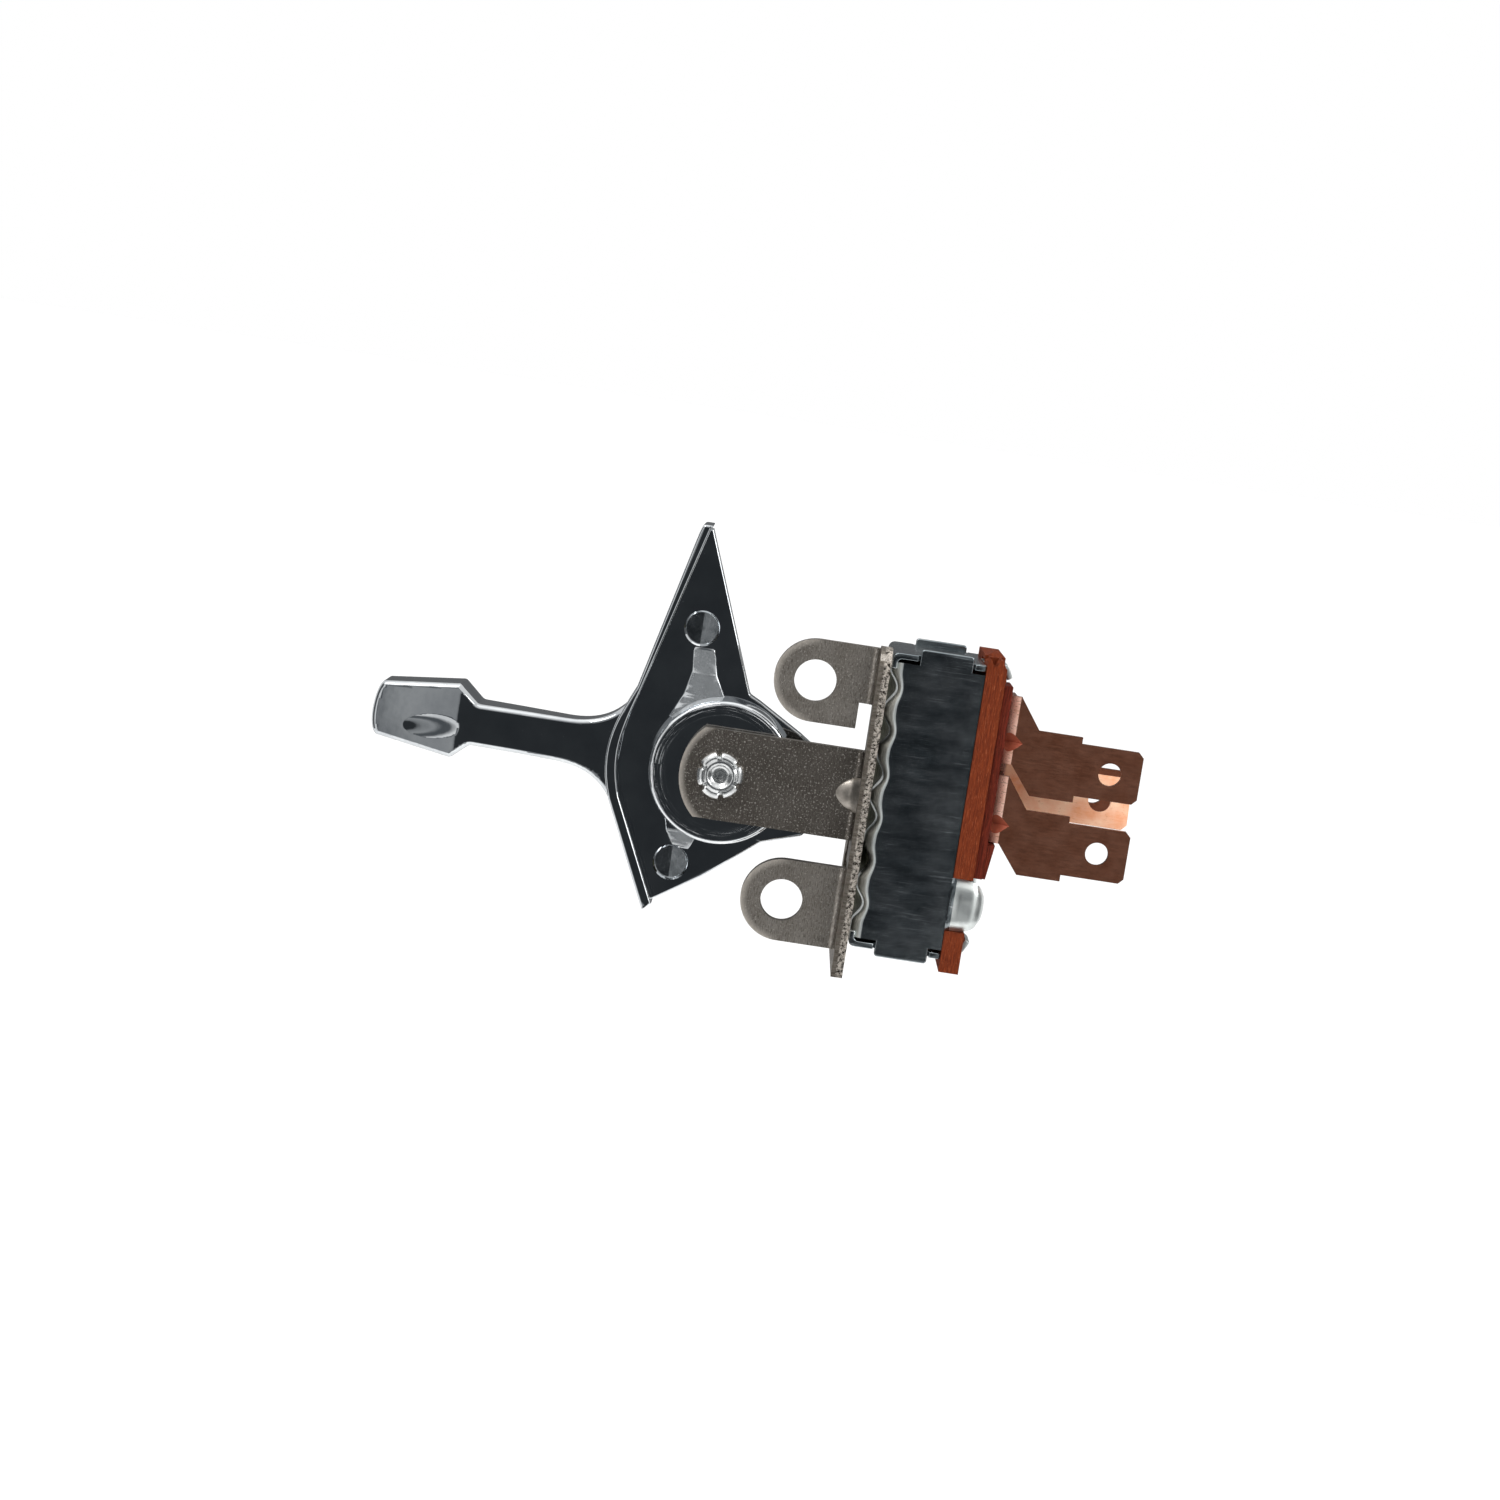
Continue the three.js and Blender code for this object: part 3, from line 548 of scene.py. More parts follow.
def lathe_mesh(name, profile, segments, wobble=None, closed=False):
    """A solid of revolution about the pivot's axis from (radius, y) points.

    The profile starts and ends on the axis, or closed joins its end to its start. wobble(angle,
    radius, y) may move a point and returns its new radius and y.
    """
    work = bmesh.new()
    rings = []
    for radius, y in profile:
        if radius < 1e-6:
            rings.append([work.verts.new((0, y, 0))])
            continue
        ring = []
        for k in range(segments):
            angle = 2 * math.pi * k / segments
            r, h = wobble(angle, radius, y) if wobble else (radius, y)
            ring.append(work.verts.new((r * math.cos(angle), h, r * math.sin(angle))))
        rings.append(ring)
    if closed:
        rings.append(rings[0])
    for lower, upper in zip(rings, rings[1:]):
        for k in range(segments):
            n = (k + 1) % segments
            unique = []
            for ring, index in ((lower, k), (lower, n), (upper, n), (upper, k)):
                corner = ring[index % len(ring)]
                if corner not in unique:
                    unique.append(corner)
            work.faces.new(unique)
    bmesh.ops.recalc_face_normals(work, faces=work.faces)
    return mesh_of(work, name)


def sliced(mesh, axis, start, stop, step):
    """Cuts a mesh into strips along an axis so that its flats can bend."""
    normal = Vector([1.0 if k == axis else 0.0 for k in range(3)])
    place = start
    with editing(mesh) as work:
        while place <= stop:
            everything = work.verts[:] + work.edges[:] + work.faces[:]
            bmesh.ops.bisect_plane(work, geom=everything, plane_co=normal * place, plane_no=normal)
            place += step


def reshape(mesh, move):
    """Moves every vertex (x, y, z) of a mesh to move(x, y, z)."""
    for vertex in mesh.vertices:
        vertex.co = move(*vertex.co)


def add_boolean(made, other, operation):
    modifier = made.modifiers.new("join", "BOOLEAN")
    modifier.operation = operation
    modifier.solver = "EXACT"
    modifier.object = other


def combined(name, base, others, operation="UNION"):
    """Boolean of meshes in drawing millimetres; returns a new mesh."""
    made = placed(name, base)
    holders = [placed(mesh.name, mesh) for mesh in others]
    for holder in holders:
        add_boolean(made, holder, operation)
    result = evaluated_mesh(made)
    for holder in [made] + holders:
        bpy.data.objects.remove(holder)
    return result


def smoothstep(low, high, value):
    t = min(1.0, max(0.0, (value - low) / (high - low)))
    return t * t * (3 - 2 * t)


def finished(name, mesh, body, slot, materials, node_names, limit=SMOOTH_LIMIT):
    """Places a mesh drawn in millimetres and lets it stand for CAD nodes."""
    mesh.transform(TO_FRAME)
    smooth_by_angle(mesh, limit)
    made = new_piece(name, mesh, body, slot, materials)
    weighted = made.modifiers.new("flat_first", "WEIGHTED_NORMAL")
    weighted.keep_sharp = True
    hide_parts(*node_names)
    return made


# ---- lever ---------------------------------------------------------------------------------------

RECESSES = ((-4.9, 16.7), (-4.5, -12.4))
RECESS_R, RECESS_FLOOR = 1.9, -0.60
PADDLE_HALF = 4.0                 # half thicknesses along Y
STEM_HALF = 2.4
SHIELD_HALF = 4.5
WEB_HALF = 1.25
PADDLE_X, PADDLE_LENGTH = -32.5, 10.5
TAPER_LENGTH = 16.0               # from the full paddle to the full stem
HUB_Y = (-5.5, 4.6)
BORE_R = 2.1


def handle_mesh():
    """Thumb paddle and stem in one flowing slab, thicker at the paddle."""
    top = [(-12.2, 6.8)] + bezier((-12.2, 6.8), (-13.9, 4.4), (-16.2, 3.4), (-19.6, 3.45))
    end = bezier((-42.1, 4.75), (-43.05, 4.4), (-43.65, 0.2), (-42.8, -1.5), 16)
    low = bezier((-20.5, -1.95), (-16.9, -2.1), (-14.5, -3.4), (-13.0, -5.9))
    paddle_top = filleted([(-25.0, 3.55, 0), (-30.4, 3.62, 0.9), (-32.9, 5.8, 0.5), (-42.1, 4.75, 0)])
    paddle_low = filleted([(-42.8, -1.5, 0), (-42.4, -1.95, 0), (-33.0, -3.4, 0.6), (-30.9, -1.55, 0.9),
                           (-25.0, -1.72, 0)])
    outline = top + paddle_top + end + paddle_low + [(-20.5, -1.95)] + low + [(-12.6, 0.0)]
    mesh = slab_mesh("handle", outline, -STEM_HALF, STEM_HALF, 0.55, 4)
    sliced(mesh, 0, -42.5, -15.5, 0.4)
    sliced(mesh, 2, -3.0, 5.4, 0.4)

    def thicken(x, y, z):
        taper = 1 - min(1.0, max(0.0, (x - PADDLE_X) / TAPER_LENGTH))
        thin_end = 1 - 0.12 * min(1.0, max(0.0, (PADDLE_X - x) / PADDLE_LENGTH))
        scale = (1 + (PADDLE_HALF / STEM_HALF - 1) * taper) * thin_end
        crown = 1 - 0.02 * ((z - 1.3) / 4.5) ** 2
        return Vector((x, y * scale * crown, z))

    reshape(mesh, thicken)
    return mesh


def dimple_mesh(side):
    """Cutter of the shallow almond dimple in a face of the paddle."""
    half_x, half_y, half_z = 5.5, 0.9, 2.35
    face_y, depth = 3.84, 0.20
    work = bmesh.new()
    bmesh.ops.create_uvsphere(work, u_segments=96, v_segments=64, radius=1.0)
    mesh = mesh_of(work, "dimple")
    tilt = Matrix.Rotation(side * 0.046, 4, "Z") @ Matrix.Rotation(-0.10, 4, "Y")
    sizes = Matrix.Diagonal((half_x, half_y, half_z, 1.0))
    mesh.transform(Matrix.Translation((-35.7, side * (face_y + half_y - depth), 0.1)) @ tilt @ sizes)
    return mesh


def shield_mesh():
    """The V-shaped guard plate that runs across the web's front edge."""
    outer = [(-11.6, 8.8)] + bezier((-11.6, 8.8), (-13.0, 5.4), (-15.6, 1.2), (-13.1, -5.35))
    inner = [(-11.82, -4.9)] + bezier((-11.82, -4.9), (-13.5, 0.2), (-12.6, 3.2), (-11.1, 8.2))
    tip = filleted([(-5.5, 29.0, 0), (-5.3, 29.4, 0.2), (-6.5, 29.4, 0.5), (-6.85, 28.4, 0.3),
                    (-7.2, 27.0, 0)])
    foot = filleted([(-7.5, -17.35, 0), (-7.06, -18.3, 0.12), (-5.99, -17.3, 0.12), (-6.3, -16.7, 0)])
    return slab_mesh("shield", tip + outer + foot + inner, -SHIELD_HALF, SHIELD_HALF, 0.28, 3)


def web_mesh():
    """The flat web behind the shield, with the tail that drives the switch."""
    outline = filleted([
        (-5.9, 28.7, 0), (-5.3, 28.9, 0), (2.1, 9.5, 0.8), (3.5, 8.8, 1.0), (9.0, 5.6, 1.5),
        (14.6, 1.8, 2.0), (22.5, 0.9, 0), (23.7, 0.0, 0.9), (22.5, -0.9, 0), (14.6, -1.7, 2.0),
        (10.9, -6.8, 1.0), (6.1, -8.3, 1.5), (3.9, -10.1, 1.0), (-0.5, -13.6, 0), (-6.2, -17.4, 0),
        (-12.2, -4.6, 0), (-13.2, 0, 0), (-11.6, 7.9, 0)])
    return slab_mesh("web", outline, -WEB_HALF, WEB_HALF, 0.22, 3)


def rib_mesh(name, outline, z_low, z_high, y_low, y_high):
    """A flaring rib that ramps from the web up to the hub, on both faces."""
    mesh = slab_mesh(name, outline, -1.0, 1.0, 0.12, 2)
    sliced(mesh, 2, min(z_low, z_high), max(z_low, z_high), 0.4)

    def ramp(x, y, z):
        t = min(1.0, max(0.0, (z - z_low) / (z_high - z_low)))
        return Vector((x, y * (y_low + (y_high - y_low) * t), z))

    reshape(mesh, ramp)
    return mesh


def hub_mesh():
    """The hub's drum with its bore, its outer edges rounded and its wall slightly coned."""
    near, far = HUB_Y
    base, rim, soft, mouth = 9.1, 8.75, 0.5, 0.15
    turns = [math.pi / 2 * k / 6 for k in range(7)]
    profile = [(BORE_R, 0.0), (BORE_R, near + mouth), (BORE_R + mouth, near)]
    profile += [(rim - soft + soft * math.sin(a), near + soft - soft * math.cos(a)) for a in turns]
    profile += [(base, 0.0)]
    profile += [(rim - soft + soft * math.cos(a), far - soft + soft * math.sin(a)) for a in turns]
    profile += [(BORE_R + mouth, far), (BORE_R, far - mouth)]
    return lathe_mesh("hub", profile, 128, closed=True)


def recess_mesh(x, z):
    """Cutter of an ejector recess: chamfered rim, straight wall and a floor that slopes on one side."""
    def one_side(angle, radius, y):
        rise = 0.27 * max(0.0, math.cos(angle)) * radius / RECESS_R
        return (radius, y - rise) if y > -0.8 else (radius, y)

    profile = [(0, -3.0), (2.4, -3.0), (2.24, -1.3), (2.0, -1.06), (1.93, RECESS_FLOOR - 0.02),
               (1.3, RECESS_FLOOR), (0.6, RECESS_FLOOR), (0, RECESS_FLOOR)]
    mesh = lathe_mesh("recess", profile, 64, one_side)
    mesh.transform(Matrix.Translation((x, 0, z)))
    return mesh


def lever_slot(place, normal):
    """Material slot of a lever face: chrome, the recesses' cast skin or the ribs' satin flanks."""
    on_rib = 1.3 < abs(place.y) < 3.0 and -8.0 < place.x < 0.0 and abs(normal.y) > 0.9
    if on_rib and abs(normal.z) > 0.05 and math.hypot(place.x, place.z) > 8.6:
        return 2
    in_recess = any(math.hypot(place.x - x, place.z - z) < RECESS_R for x, z in RECESSES)
    return 1 if in_recess and abs(place.y) < WEB_HALF - 0.1 else 0


def build_lever():
    """One casting: web, shield, handle and ribs joined, hollows cut, then the hub set in."""
    upper_rib = rib_mesh("upper_rib", filleted([
        (-5.6, 14.6, 0.6), (-3.0, 14.6, 0.6), (-2.2, 11.2, 1.5), (-0.4, 7.9, 0), (-3.0, 5.0, 0),
        (-7.3, 5.6, 0), (-5.9, 8.6, 2.0), (-5.3, 11.5, 1.5)]), 14.4, 5.2, WEB_HALF, 2.74)
    lower_rib = rib_mesh("lower_rib", filleted([
        (-4.6, -10.3, 0.5), (-2.6, -10.6, 0.5), (-1.6, -8.2, 0), (-6.2, -6.2, 0), (-5.6, -8.6, 0.5)]),
        -10.6, -8.0, WEB_HALF, 1.6)
    whole = combined("lever", web_mesh(), [shield_mesh(), handle_mesh(), upper_rib, lower_rib])
    cutters = [recess_mesh(x, z) for x, z in RECESSES] + [dimple_mesh(side) for side in (-1, 1)]
    cutters.append(lathe_mesh("middle", [(0, -3.0), (6.0, -3.0), (6.0, 3.0), (0, 3.0)], 64))
    whole = combined("lever", whole, cutters, "DIFFERENCE")
    whole = combined("lever", whole, [hub_mesh()])
    made = finished("lever_casting", whole, "lever", "chrome_plate", [CHROME, CAST, SATIN], ["lever"])
    paint(made, lever_slot)


# ---- pivot rivet ---------------------------------------------------------------------------------

def build_rivet():
    """Tubular rivet: conical dimple, inner ring and a rolled rim split into petals."""
    near = [(0, -7.15), (0.28, -7.18), (0.42, -7.45), (0.78, -7.62), (0.95, -7.98), (1.22, -8.10),
            (1.38, -8.36), (1.62, -8.46), (1.86, -8.40), (2.02, -8.16), (2.18, -8.14), (2.40, -8.26),
            (2.64, -8.16), (2.82, -7.88), (2.88, -7.60), (2.80, -7.37)]
    far = [(2.0, -7.37), (2.0, 5.52), (3.35, 5.54), (3.4, 5.7), (3.36, 6.1), (3.1, 6.38), (2.6, 6.52),
           (0, 6.6)]

    def petals(angle, radius, y):
        if radius < 1.9 or y > -7.3:
            return radius, y
        turn = 6 * (angle + 0.35) / (2 * math.pi)
        index = int(turn) % 6
        place = abs(turn - math.floor(turn) - 0.5) * 2
        split = smoothstep(0.72, 0.92, place)
        tall = (0.05, 0.0, 0.09, 0.03, 0.07, 0.0)[index]
        return radius * (1 - 0.13 * split + tall * 0.4), min(-7.37, y + 0.30 * split - tall)

    mesh = lathe_mesh("rivet", near + far, 120, petals)
    finished("rivet", mesh, "base", "bright_steel", [BRIGHT], ["pivot_rivet"], math.radians(40))


# ---- mounting bracket ----------------------------------------------------------------------------

def dart_mesh():
    """The stiffening dart pressed into the bearing ear's bend, a fin with a rounded back."""
    rows, columns = 18, 14
    tip_x, long, half_width, height, middle_z, sunk = 13.95, 2.85, 2.15, 0.7, 0.1, 0.06
    work = bmesh.new()
    grid = []
    for i in range(rows + 1):
        along = i / rows
        x = tip_x + long * along
        rise = 1 - (1 - along) ** 2
        half = half_width * (1 - (1 - along) ** 1.9) ** 0.7
        surface = EAR_FACE_Y - 0.98 * smoothstep(0.55, 1.15, along) ** 1.4
        line = []
        for k in range(columns + 1):
            across = 2 * k / columns - 1
            lift = height * rise * (1 - across * across) ** 0.8
            line.append(work.verts.new((x, surface - lift + sunk, middle_z + half * across)))
        grid.append(line)
    grid_faces(work, grid)
    bmesh.ops.remove_doubles(work, verts=work.verts, dist=1e-4)
    border = [edge for edge in work.edges if len(edge.link_faces) == 1]
    pulled = bmesh.ops.extrude_edge_only(work, edges=border)
    for vertex in [part for part in pulled["geom"] if isinstance(part, bmesh.types.BMVert)]:
        vertex.co.y += 0.9
    bmesh.ops.holes_fill(work, edges=[edge for edge in work.edges if len(edge.link_faces) == 1])
    bmesh.ops.recalc_face_normals(work, faces=work.faces)
    return mesh_of(work, "dart")


def bracket_slot(place, normal):
    """Material slot of a bracket face: rolled nickel, or the sheared edge of the plate and ears."""
    on_ear = place.x < 15.85 and abs(normal.y) < 0.5
    on_plate = 16.78 < place.x < 18.22 and abs(normal.x) < 0.4 and abs(normal.y) > 0.9
    return 1 if abs(normal.z) > 0.7 or on_ear or on_plate else 0


def build_bracket():
    """The CAD bracket with rounded edges, torn sheared faces and the dart in the bearing ear's bend."""
    made = refined("mounting_bracket", "base", "nickel_steel", NICKEL, 0.26, 4)
    made.name = "bracket_stamping"
    made.data.materials.append(SHEARED)
    made.data.materials.append(DART)
    made.modifiers["edges"].material = 2
    for vertex in made.data.vertices:
        place = from_pivot(vertex.co)
        if place.x < 0 and abs(place.z) < 8:
            vertex.co.x = ORIGIN.x + place.x * EAR_END_SCALE * MM
    paint(made, bracket_slot)
    dart = dart_mesh()
    dart.transform(TO_FRAME)
    smooth_by_angle(dart, math.radians(60))
    new_piece("bearing_ear_dart", dart, "base", "nickel_steel", [DART])


# ---- switch box ----------------------------------------------------------------------------------

BOX_FRONT, BOX_BACK = 18.25, 29.55
BOX_HALF_Y, BOX_HALF_Z = 8.8, 18.0
SHEET = 0.7
END_TAB_HALF_Y = 2.5
BEND_R, BEND_STEPS = 1.75, 9      # the rounded bends between base and side walls
SHEET_HALF_Z, SHEET_ROWS = 16.85, 132
SLOT_HALF_Y, SLOT_HALF_Z = 1.7, 12.7
HAIR = 0.012                      # keeps joined faces from lying exactly in one plane
DENT_PITCH, DENT_DEPTH, DENT_HALF, DENT_COUNT, DENT_MIDDLE = 5.3, 1.05, 2.3, 6, 0.4


def dent(z):
    """How far the base is pressed in at height z, 0 to 1."""
    first = DENT_MIDDLE - (DENT_COUNT - 1) / 2 * DENT_PITCH
    nearest = min(DENT_COUNT - 1, max(0, round((z - first) / DENT_PITCH)))
    away = abs(z - first - nearest * DENT_PITCH)
    return 0.5 + 0.5 * math.cos(math.pi * away / DENT_HALF) if away < DENT_HALF else 0.0


def base_section(press):
    """(x, y) points across the sheet, from the near wall's end over the base to the far wall's."""
    section = [(x, -BOX_HALF_Y) for x in (BOX_BACK, 27.4, 24.6, 22.2)]
    for k in range(BEND_STEPS + 1):
        t = k / BEND_STEPS
        angle = math.pi / 2 * t
        fade = 0.35 + 0.65 * smoothstep(0.0, 1.0, t)
        section.append((BOX_FRONT + press * fade + BEND_R * (1 - math.sin(angle)),
                        -BOX_HALF_Y + BEND_R * (1 - math.cos(angle))))
    section += [(BOX_FRONT + press, -4.4), (BOX_FRONT + press * 0.55, -3.6),
                (BOX_FRONT + press * 0.12, -2.8), (BOX_FRONT, -2.2), (BOX_FRONT, -SLOT_HALF_Y),
                (BOX_FRONT, 0.0)]
    return section + [(x, -y) for x, y in reversed(section[:-1])]


def box_sheet_mesh():
    """Base and both side walls as one bent sheet; the dents fade out in the middle of the base."""
    work = bmesh.new()
    heights = [-SHEET_HALF_Z + 2 * SHEET_HALF_Z * i / SHEET_ROWS for i in range(SHEET_ROWS + 1)]
    grid = []
    for z in heights:
        grid.append([work.verts.new((x, y, z)) for x, y in base_section(dent(z) * DENT_DEPTH)])
    for low, high in zip(grid, grid[1:]):
        middle_z = (low[0].co.z + high[0].co.z) / 2
        for k in range(len(low) - 1):
            middle_y = (low[k].co.y + low[k + 1].co.y) / 2
            if abs(middle_y) < SLOT_HALF_Y and abs(middle_z) < SLOT_HALF_Z:
                continue
            work.faces.new((low[k], low[k + 1], high[k + 1], high[k]))
    bmesh.ops.recalc_face_normals(work, faces=work.faces)
    loose = [vertex for vertex in work.verts if not vertex.link_faces]
    bmesh.ops.delete(work, geom=loose, context="VERTS")
    mesh = mesh_of(work, "box_sheet")
    near_wall = [face for face in mesh.polygons if face.center.y < -BOX_HALF_Y + 0.01]
    if sum(face.normal.y * face.area for face in near_wall) >= 0:
        mesh.flip_normals()
    return thickened(mesh, SHEET, True)


def crimp_mesh(side):
    """A tongue of the side wall that rolls over the board, its end rounded and slightly domed."""
    centre_z, half_z, radius = -11.1, 3.2, 1.3
    straight, sweep = 2.9, math.radians(165)
    total = straight + radius * sweep
    rows, columns = 40, 22
    work = bmesh.new()
    grid = []
    for i in range(rows + 1):
        s = total * i / rows
        t = smoothstep(0.0, 1.0, max(0.0, (s - 1.0) / (total - 1.0)))
        half = half_z * (1 - 0.50 * t ** 1.5)
        if s < straight:
            x, y, nx, ny = BOX_BACK - 0.25 + s, -BOX_HALF_Y, 0.0, -1.0
        else:
            angle = (s - straight) / radius
            nx, ny = math.sin(angle), -math.cos(angle)
            x = BOX_BACK - 0.25 + straight + radius * nx
            y = -BOX_HALF_Y + radius + radius * ny
        line = []
        for k in range(columns + 1):
            across = 2 * k / columns - 1
            dome = 0.34 * smoothstep(0.1, 1.6, s) * (1 - across * across)
            dome -= 0.22 * smoothstep(0.6, 1.0, abs(across))
            dome *= smoothstep(0.0, 0.6, s)
            z = centre_z + half * across
            line.append(work.verts.new((x + nx * dome, -side * (y + ny * dome), z)))
        grid.append(line)
    grid_faces(work, grid)
    mesh = mesh_of(work, "crimp")
    if mesh.polygons[0].normal.y * side < 0:
        mesh.flip_normals()
    return thickened(mesh, 0.6, False)


def end_flap_meshes(side):
    """The end flap, its corner parts beside the wall tabs, and its narrow tab through the board."""
    inner = BOX_HALF_Z - SHEET
    front = [(BOX_FRONT + 0.02, inner - 1.2, 0), (BOX_FRONT + 0.02, BOX_HALF_Z, 1.3)]
    back = [(BOX_FRONT + SHEET, inner, 0.6), (BOX_FRONT + SHEET, inner - 1.2, 0)]

    def plate(name, corners, half_y):
        outline = [(x, side * z) for x, z in filleted(corners)]
        return slab_mesh(name, outline if side > 0 else outline[::-1], -half_y, half_y, 0.1, 2)

    def flap(name, x_end, half_y):
        return plate(name, front + [(x_end, BOX_HALF_Z, 0.1), (x_end, inner, 0)] + back, half_y)

    tab = [(28.9, BOX_HALF_Z, 0), (32.6, BOX_HALF_Z, 0.5), (33.3, 16.55, 0), (32.75, 16.2, 0),
           (32.2, inner, 0.3), (28.9, inner, 0)]
    rear = [(28.2, BOX_HALF_Z, 0), (29.5, BOX_HALF_Z, 0), (29.5, inner, 0), (28.2, inner, 0)]
    meshes = [
        flap("flap", 29.5, 7.85),
        flap("flap_front", 21.35, BOX_HALF_Y - 0.02),
        plate("flap_rear", rear, BOX_HALF_Y - 0.05),
        plate("flap_tab", tab, END_TAB_HALF_Y),
    ]
    for count, mesh in enumerate(meshes):
        mesh.transform(Matrix.Translation((count * HAIR, 0, -side * count * HAIR)))
    return meshes


def wall_tab_mesh(side, end):
    """The raised tab of a side wall beside the end flap."""
    corners = filleted([(21.6, 14.0, 0), (28.0, 14.0, 0), (28.0, 18.8, 0.45), (21.6, 18.8, 0.45)])
    outline = [(x, end * z) for x, z in corners]
    low_y = -BOX_HALF_Y + HAIR if side < 0 else BOX_HALF_Y - SHEET + HAIR
    return slab_mesh("wall_tab", outline, low_y, low_y + SHEET - 2 * HAIR, 0.14, 3)


def housing_slot(place, normal):
    """Material slot of a box face: the walls, the bends and crimps in a lighter copy as a painted
    highlight, or the base's front faces in dark olive as painted shade.
    """
    on_base = place.x < 20.3 and abs(place.z) < 16.8
    if place.x > 30.2 or (on_base and abs(place.y) > 6.9 and abs(normal.y) < 0.995):
        return 1
    return 2 if on_base and normal.x < -0.4 else 0


def build_housing():
    """The folded box: base and walls, with crimps, end flaps and wall tabs joined on."""
    parts = []
    for side in (-1, 1):
        parts.append(crimp_mesh(side))
        parts += end_flap_meshes(side)
        parts += [wall_tab_mesh(side, end) for end in (-1, 1)]
    whole = combined("housing", box_sheet_mesh(), parts)
    made = finished("switch_box", whole, "base", "zinc_steel", [ZINC, ZINC_BEND_HIGHLIGHT, ZINC_BASE_SHADE],
                    ["switch_housing"], math.radians(38))
    paint(made, housing_slot)


# ---- terminal board and terminals ----------------------------------------------------------------

def cut_away(made, cutter):
    """Cuts a mesh drawn in millimetres out of a finished piece."""
    cutter.transform(TO_FRAME)
    holder = placed("cutter", cutter)
    add_boolean(made, holder, "DIFFERENCE")
    cut = evaluated_mesh(made)
    made.modifiers.clear()
    made.data = cut
    bpy.data.objects.remove(holder)


def build_board():
    """The laminate board with chips broken out of its upper edge, and the spacer with its lip."""
    made = refined("terminal_board", "base", "phenolic_board", PHENOLIC, 0.06, 2)
    made.name = "laminate_board"
    chips = (
        ([(29.9, 18.95), (30.5, 18.0), (30.8, 18.05), (31.2, 19.2), (30.5, 19.6)], (-10.0, -5.5)),
        ([(29.5, 18.3), (29.9, 18.5), (30.0, 19.2), (29.4, 19.2)], (-10.0, -3.0)),
        ([(31.3, 19.2), (31.8, 18.1), (32.2, 17.8), (32.2, 19.2)], (-10.0, -4.0)),
    )
    for outline, (low_y, high_y) in chips:
        cut_away(made, slab_mesh("chip", outline, low_y, high_y, 0.02, 1))

    spacer = refined("terminal_spacer", "base", "insulator", INSULATOR, 0.1, 2)
    spacer.name = "insulator_strip"
    corners = [(33.0, -3.35), (34.0, -3.35), (33.45, -7.55), (33.0, -7.55)]
    lip = slab_mesh("lip", corners, -8.4, -4.0, 0.08, 2)
    lip.transform(TO_FRAME)
    smooth_by_angle(lip)
    new_piece("insulator_lip", lip, "base", "insulator", [INSULATOR])


def notch_mesh(z):
    """Cutter of the V pressed into a blade's bend to stiffen it."""
    valley = [(35.5, -6.95, z), (33.0, -5.3, z)]
    mouth = [(33.0, -7.5, z + 2.9), (33.0, -7.5, z - 2.9)]
    work = bmesh.new()
    corners = [work.verts.new(point) for point in valley + mouth]
    for face in ((0, 1, 2), (0, 3, 1), (0, 2, 3), (1, 3, 2)):
        work.faces.new([corners[index] for index in face])
    bmesh.ops.recalc_face_normals(work, faces=work.faces)
    return mesh_of(work, "notch")


TWIST = math.radians(12)
TWIST_Y, TWIST_Z = -0.6, 3.1      # the line that blade c is turned about
NOTCH_Z = {"a": 9.2, "b": -0.9}


def twist_blade(mesh):
    """Turns a blade a little about its own length, as if it was leaned on."""
    middle = in_frame(0, TWIST_Y, TWIST_Z)
    for vertex in mesh.vertices:
        angle = TWIST * smoothstep(34.6, 37.5, from_pivot(vertex.co).x)
        arm = Vector((vertex.co.y - middle.y, vertex.co.z - middle.z))
        vertex.co.y = middle.y + arm.x * math.cos(angle) + arm.y * math.sin(angle)
        vertex.co.z = middle.z - arm.x * math.sin(angle) + arm.y * math.cos(angle)


def blade_slot(letter):
    """Gives the function that picks a blade face's slot: flat, bend with a painted highlight, or pressed
    notch with painted shade.
    """
    def pick(place, normal):
        if place.x < 34.7 and abs(normal.z) < 0.3 and abs(normal.y) < 0.992:
            return 1
        near_notch = letter in NOTCH_Z and abs(place.z - NOTCH_Z[letter]) < 2.2
        return 2 if near_notch and 0.3 < abs(normal.z) < 0.97 and place.x < 35.2 else 0

    return pick


def build_terminals():
    """The four blades, c brighter from fresher copper and a painted highlight, and a little turned, and
    the rivets that join them to the board.
    """
    for letter in "abcd":
        # Blade c gets the fresher copper with a painted highlight.
        bright = letter == "c"
        slot, material = ("bright_copper", COPPER_FRESH_AND_LIT) if bright else ("copper", COPPER)
        made = refined("terminal_" + letter, "base", slot, material, 0.13, 3)
        made.name = "blade_" + letter
        if letter in NOTCH_Z:
            cut_away(made, notch_mesh(NOTCH_Z[letter]))
        made.data.materials.append(COPPER_BEND_HIGHLIGHT)
        made.data.materials.append(COPPER_NOTCH_SHADE)
        paint(made, blade_slot(letter))
        if bright:
            twist_blade(made.data)
        rivet = refined("contact_rivet_" + letter, "base", "contact_metal", CONTACT, 0.15, 3)
        rivet.name = "contact_rivet_head_" + letter


# ---- pieces --------------------------------------------------------------------------------------

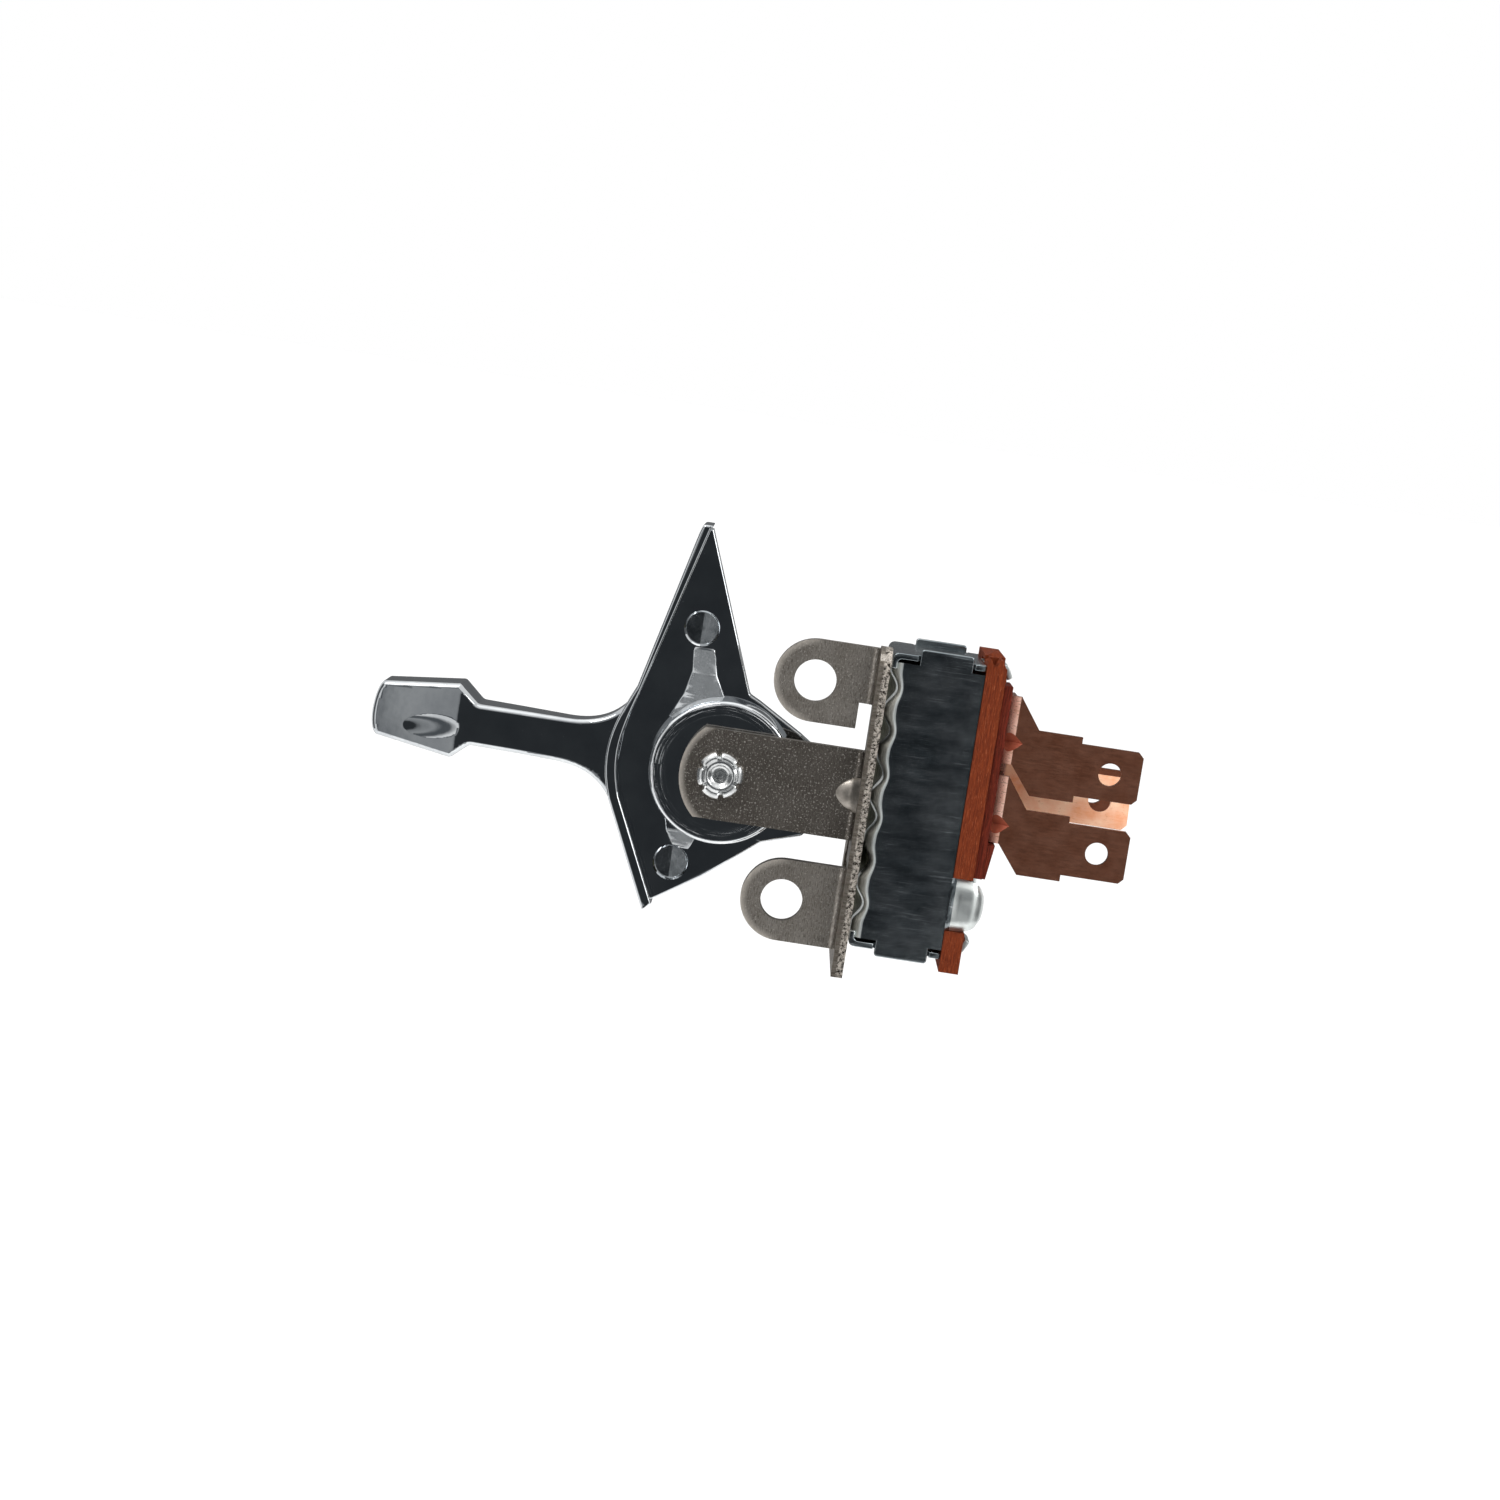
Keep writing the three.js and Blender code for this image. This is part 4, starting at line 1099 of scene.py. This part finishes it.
build_lever()
build_rivet()
build_bracket()
build_housing()
build_board()
build_terminals()
refined("friction_washer", "base", "spring_steel", SPRING, 0.05, 2)
refined("backing_washer", "base", "spring_steel", SPRING, 0.1, 2)
refined("contact_carriage", "carriage", "carriage_resin", RESIN, 0.15, 2)
refined("wiper_contact", "carriage", "contact_metal", CONTACT, 0.1, 2)
refined("detent_ball", "ball", "bright_steel", BRIGHT, 0.02, 1, 80)
for spring in ("detent_spring", "wiper_spring_upper", "wiper_spring_lower"):
    refined(spring, "carriage", "spring_steel", SPRING, 0.02, 1, 80)

# ---- stage, lights and camera --------------------------------------------------------------------

CAMERA_DISTANCE = 350 * MM
CAMERA_ELEVATION = math.radians(6.85)
CAMERA_ROLL = math.radians(8.7)
CAMERA_AIM = in_frame(3.1, -8.5, 3.7)
FLOOR_DROP = 0.30
FLOOR_HALF = 60.0
CARD_PLACE = Vector((-0.008, -0.36, -0.030))
CARD_HALF = 0.45
CARD_HALF_X = 0.070               # size of the bands on the card
CARD_HALF_Z = 0.085
CARD_DARK = (0.034, 0.038, 0.042)
CARD_BAND = (0.12, 0.13, 0.14)
CARD_STOPS = (
    (0.0, CARD_DARK), (0.245, CARD_DARK), (0.30, (0.26, 0.27, 0.28)), (0.42, (0.40, 0.41, 0.42)),
    (0.50, CARD_BAND), (0.60, CARD_BAND), (0.72, (1.0, 1.0, 1.0)))
FLAG_AWAY = 0.50
FLAG_Y = -0.12


def look_matrix(eye, target, roll=0.0):
    """Placement of a camera or lamp at eye that looks at target, its top turned by roll."""
    back = (eye - target).normalized()
    right = Vector((0, 0, 1)).cross(back).normalized()
    up = back.cross(right)
    turned_right = right * math.cos(roll) + up * math.sin(roll)
    turned_up = up * math.cos(roll) - right * math.sin(roll)
    return Matrix.Translation(eye) @ Matrix((turned_right, turned_up, back)).transposed().to_4x4()


def add_camera():
    data = bpy.data.cameras.new("camera")
    data.sensor_width = 36
    data.lens = 70
    data.clip_start = 0.01
    camera = placed("camera", data)
    away = Vector((0, -math.cos(CAMERA_ELEVATION), math.sin(CAMERA_ELEVATION)))
    camera.matrix_world = look_matrix(CAMERA_AIM + away * CAMERA_DISTANCE, CAMERA_AIM, CAMERA_ROLL)
    bpy.context.scene.camera = camera


def add_area(name, place, size, watts):
    """A round soft lamp that looks at the frame's origin."""
    data = bpy.data.lights.new(name, "AREA")
    data.shape = "DISK"
    data.size = size
    data.energy = watts
    lamp = placed(name, data)
    lamp.matrix_world = look_matrix(Vector(place), Vector((0, 0, 0)))


def add_sun():
    data = bpy.data.lights.new("overhead", "SUN")
    data.energy = 0.5
    data.angle = math.radians(60)
    placed("overhead", data)


def plane_mesh(name, half_x, half_y):
    mesh = bpy.data.meshes.new(name)
    corners = [(-half_x, -half_y, 0), (half_x, -half_y, 0), (half_x, half_y, 0), (-half_x, half_y, 0)]
    mesh.from_pydata(corners, [], [(0, 1, 2, 3)])
    return mesh


def add_floor():
    floor = placed("floor", plane_mesh("floor", FLOOR_HALF, FLOOR_HALF))
    floor.location = (0, 0, cad_box[0][2] - FLOOR_DROP)
    made, shader, coords = start_material("floor")
    tone = noise(coords, 3.0, 2.0)
    link(shader, Base_Color=mix(tone, (0.95, 0.95, 0.95), (0.97, 0.97, 0.97)))
    shader.inputs["Roughness"].default_value = 0.9
    floor.data.materials.append(made)


def add_card(name, half_x, half_y, matrix, tone_of):
    """A card that only shiny surfaces see. tone_of(coords) gives the colour of its glow."""
    card = placed(name, plane_mesh(name, half_x, half_y))
    card.matrix_world = matrix
    made = bpy.data.materials.new(name)
    made.use_nodes = True
    tree = made.node_tree
    tree.nodes.clear()
    coords = node(tree, "ShaderNodeTexCoord").outputs["Object"]
    glow = node(tree, "ShaderNodeEmission", {"Color": tone_of(coords), "Strength": 1.0})
    out = node(tree, "ShaderNodeOutputMaterial")
    tree.links.new(glow.outputs[0], out.inputs["Surface"])
    card.data.materials.append(made)
    card.visible_camera = False
    card.visible_diffuse = False
    card.visible_shadow = False


def dark_card_tone(coords):
    """Dark in the middle, then grey, dark and white outwards, in oval bands."""
    tree = coords.id_data
    inputs = {"Vector": coords, "Scale": [1 / CARD_HALF_X, 1 / CARD_HALF_Z, 1]}
    shaped = node(tree, "ShaderNodeMapping", inputs).outputs[0]
    ramp = node(tree, "ShaderNodeValToRGB", {"Fac": remap(length(shaped), 0.0, 4.0)})
    elements = ramp.color_ramp.elements
    while len(elements) < len(CARD_STOPS):
        elements.new(0.5)
    for element, (place, tone) in zip(elements, CARD_STOPS):
        element.position = place
        element.color = (*tone, 1.0)
    return ramp.outputs["Color"]


def flag_tone(coords):
    return mix(noise(coords, 4.0, 2.0), (0.10, 0.105, 0.11), (0.20, 0.205, 0.21))


def add_dark_card():
    """The card behind the camera, which darkens the plating that faces the camera."""
    matrix = Matrix.Translation(CARD_PLACE) @ Matrix.Rotation(-math.pi / 2, 4, "X")
    add_card("dark_card", CARD_HALF, CARD_HALF, matrix, dark_card_tone)


def add_flag(name, place, target):
    """A dark flag at the edge of the studio, which gives rounded shiny edges their dark cores."""
    add_card(name, 0.28, 0.26, look_matrix(Vector(place), Vector(target)), flag_tone)


def add_world():
    world = bpy.data.worlds.new("studio")
    world.use_nodes = True
    background = world.node_tree.nodes["Background"]
    background.inputs["Color"].default_value = (1, 1, 1, 1)
    background.inputs["Strength"].default_value = 1.0
    bpy.context.scene.world = world


add_world()
add_camera()
add_floor()
add_dark_card()
add_flag("left_flag", (-FLAG_AWAY, FLAG_Y, 0), (0, FLAG_Y, 0))
add_flag("right_flag", (FLAG_AWAY, FLAG_Y, 0), (0, FLAG_Y, 0))
add_flag("back_flag", (0, FLAG_AWAY, 0), (0, 0, 0))
add_sun()
add_area("key", (-0.25, -0.35, 0.45), 0.30, 2.0)
add_area("fill", (0.35, -0.30, 0.20), 0.25, 1.0)
bpy.context.scene.view_settings.view_transform = "Standard"
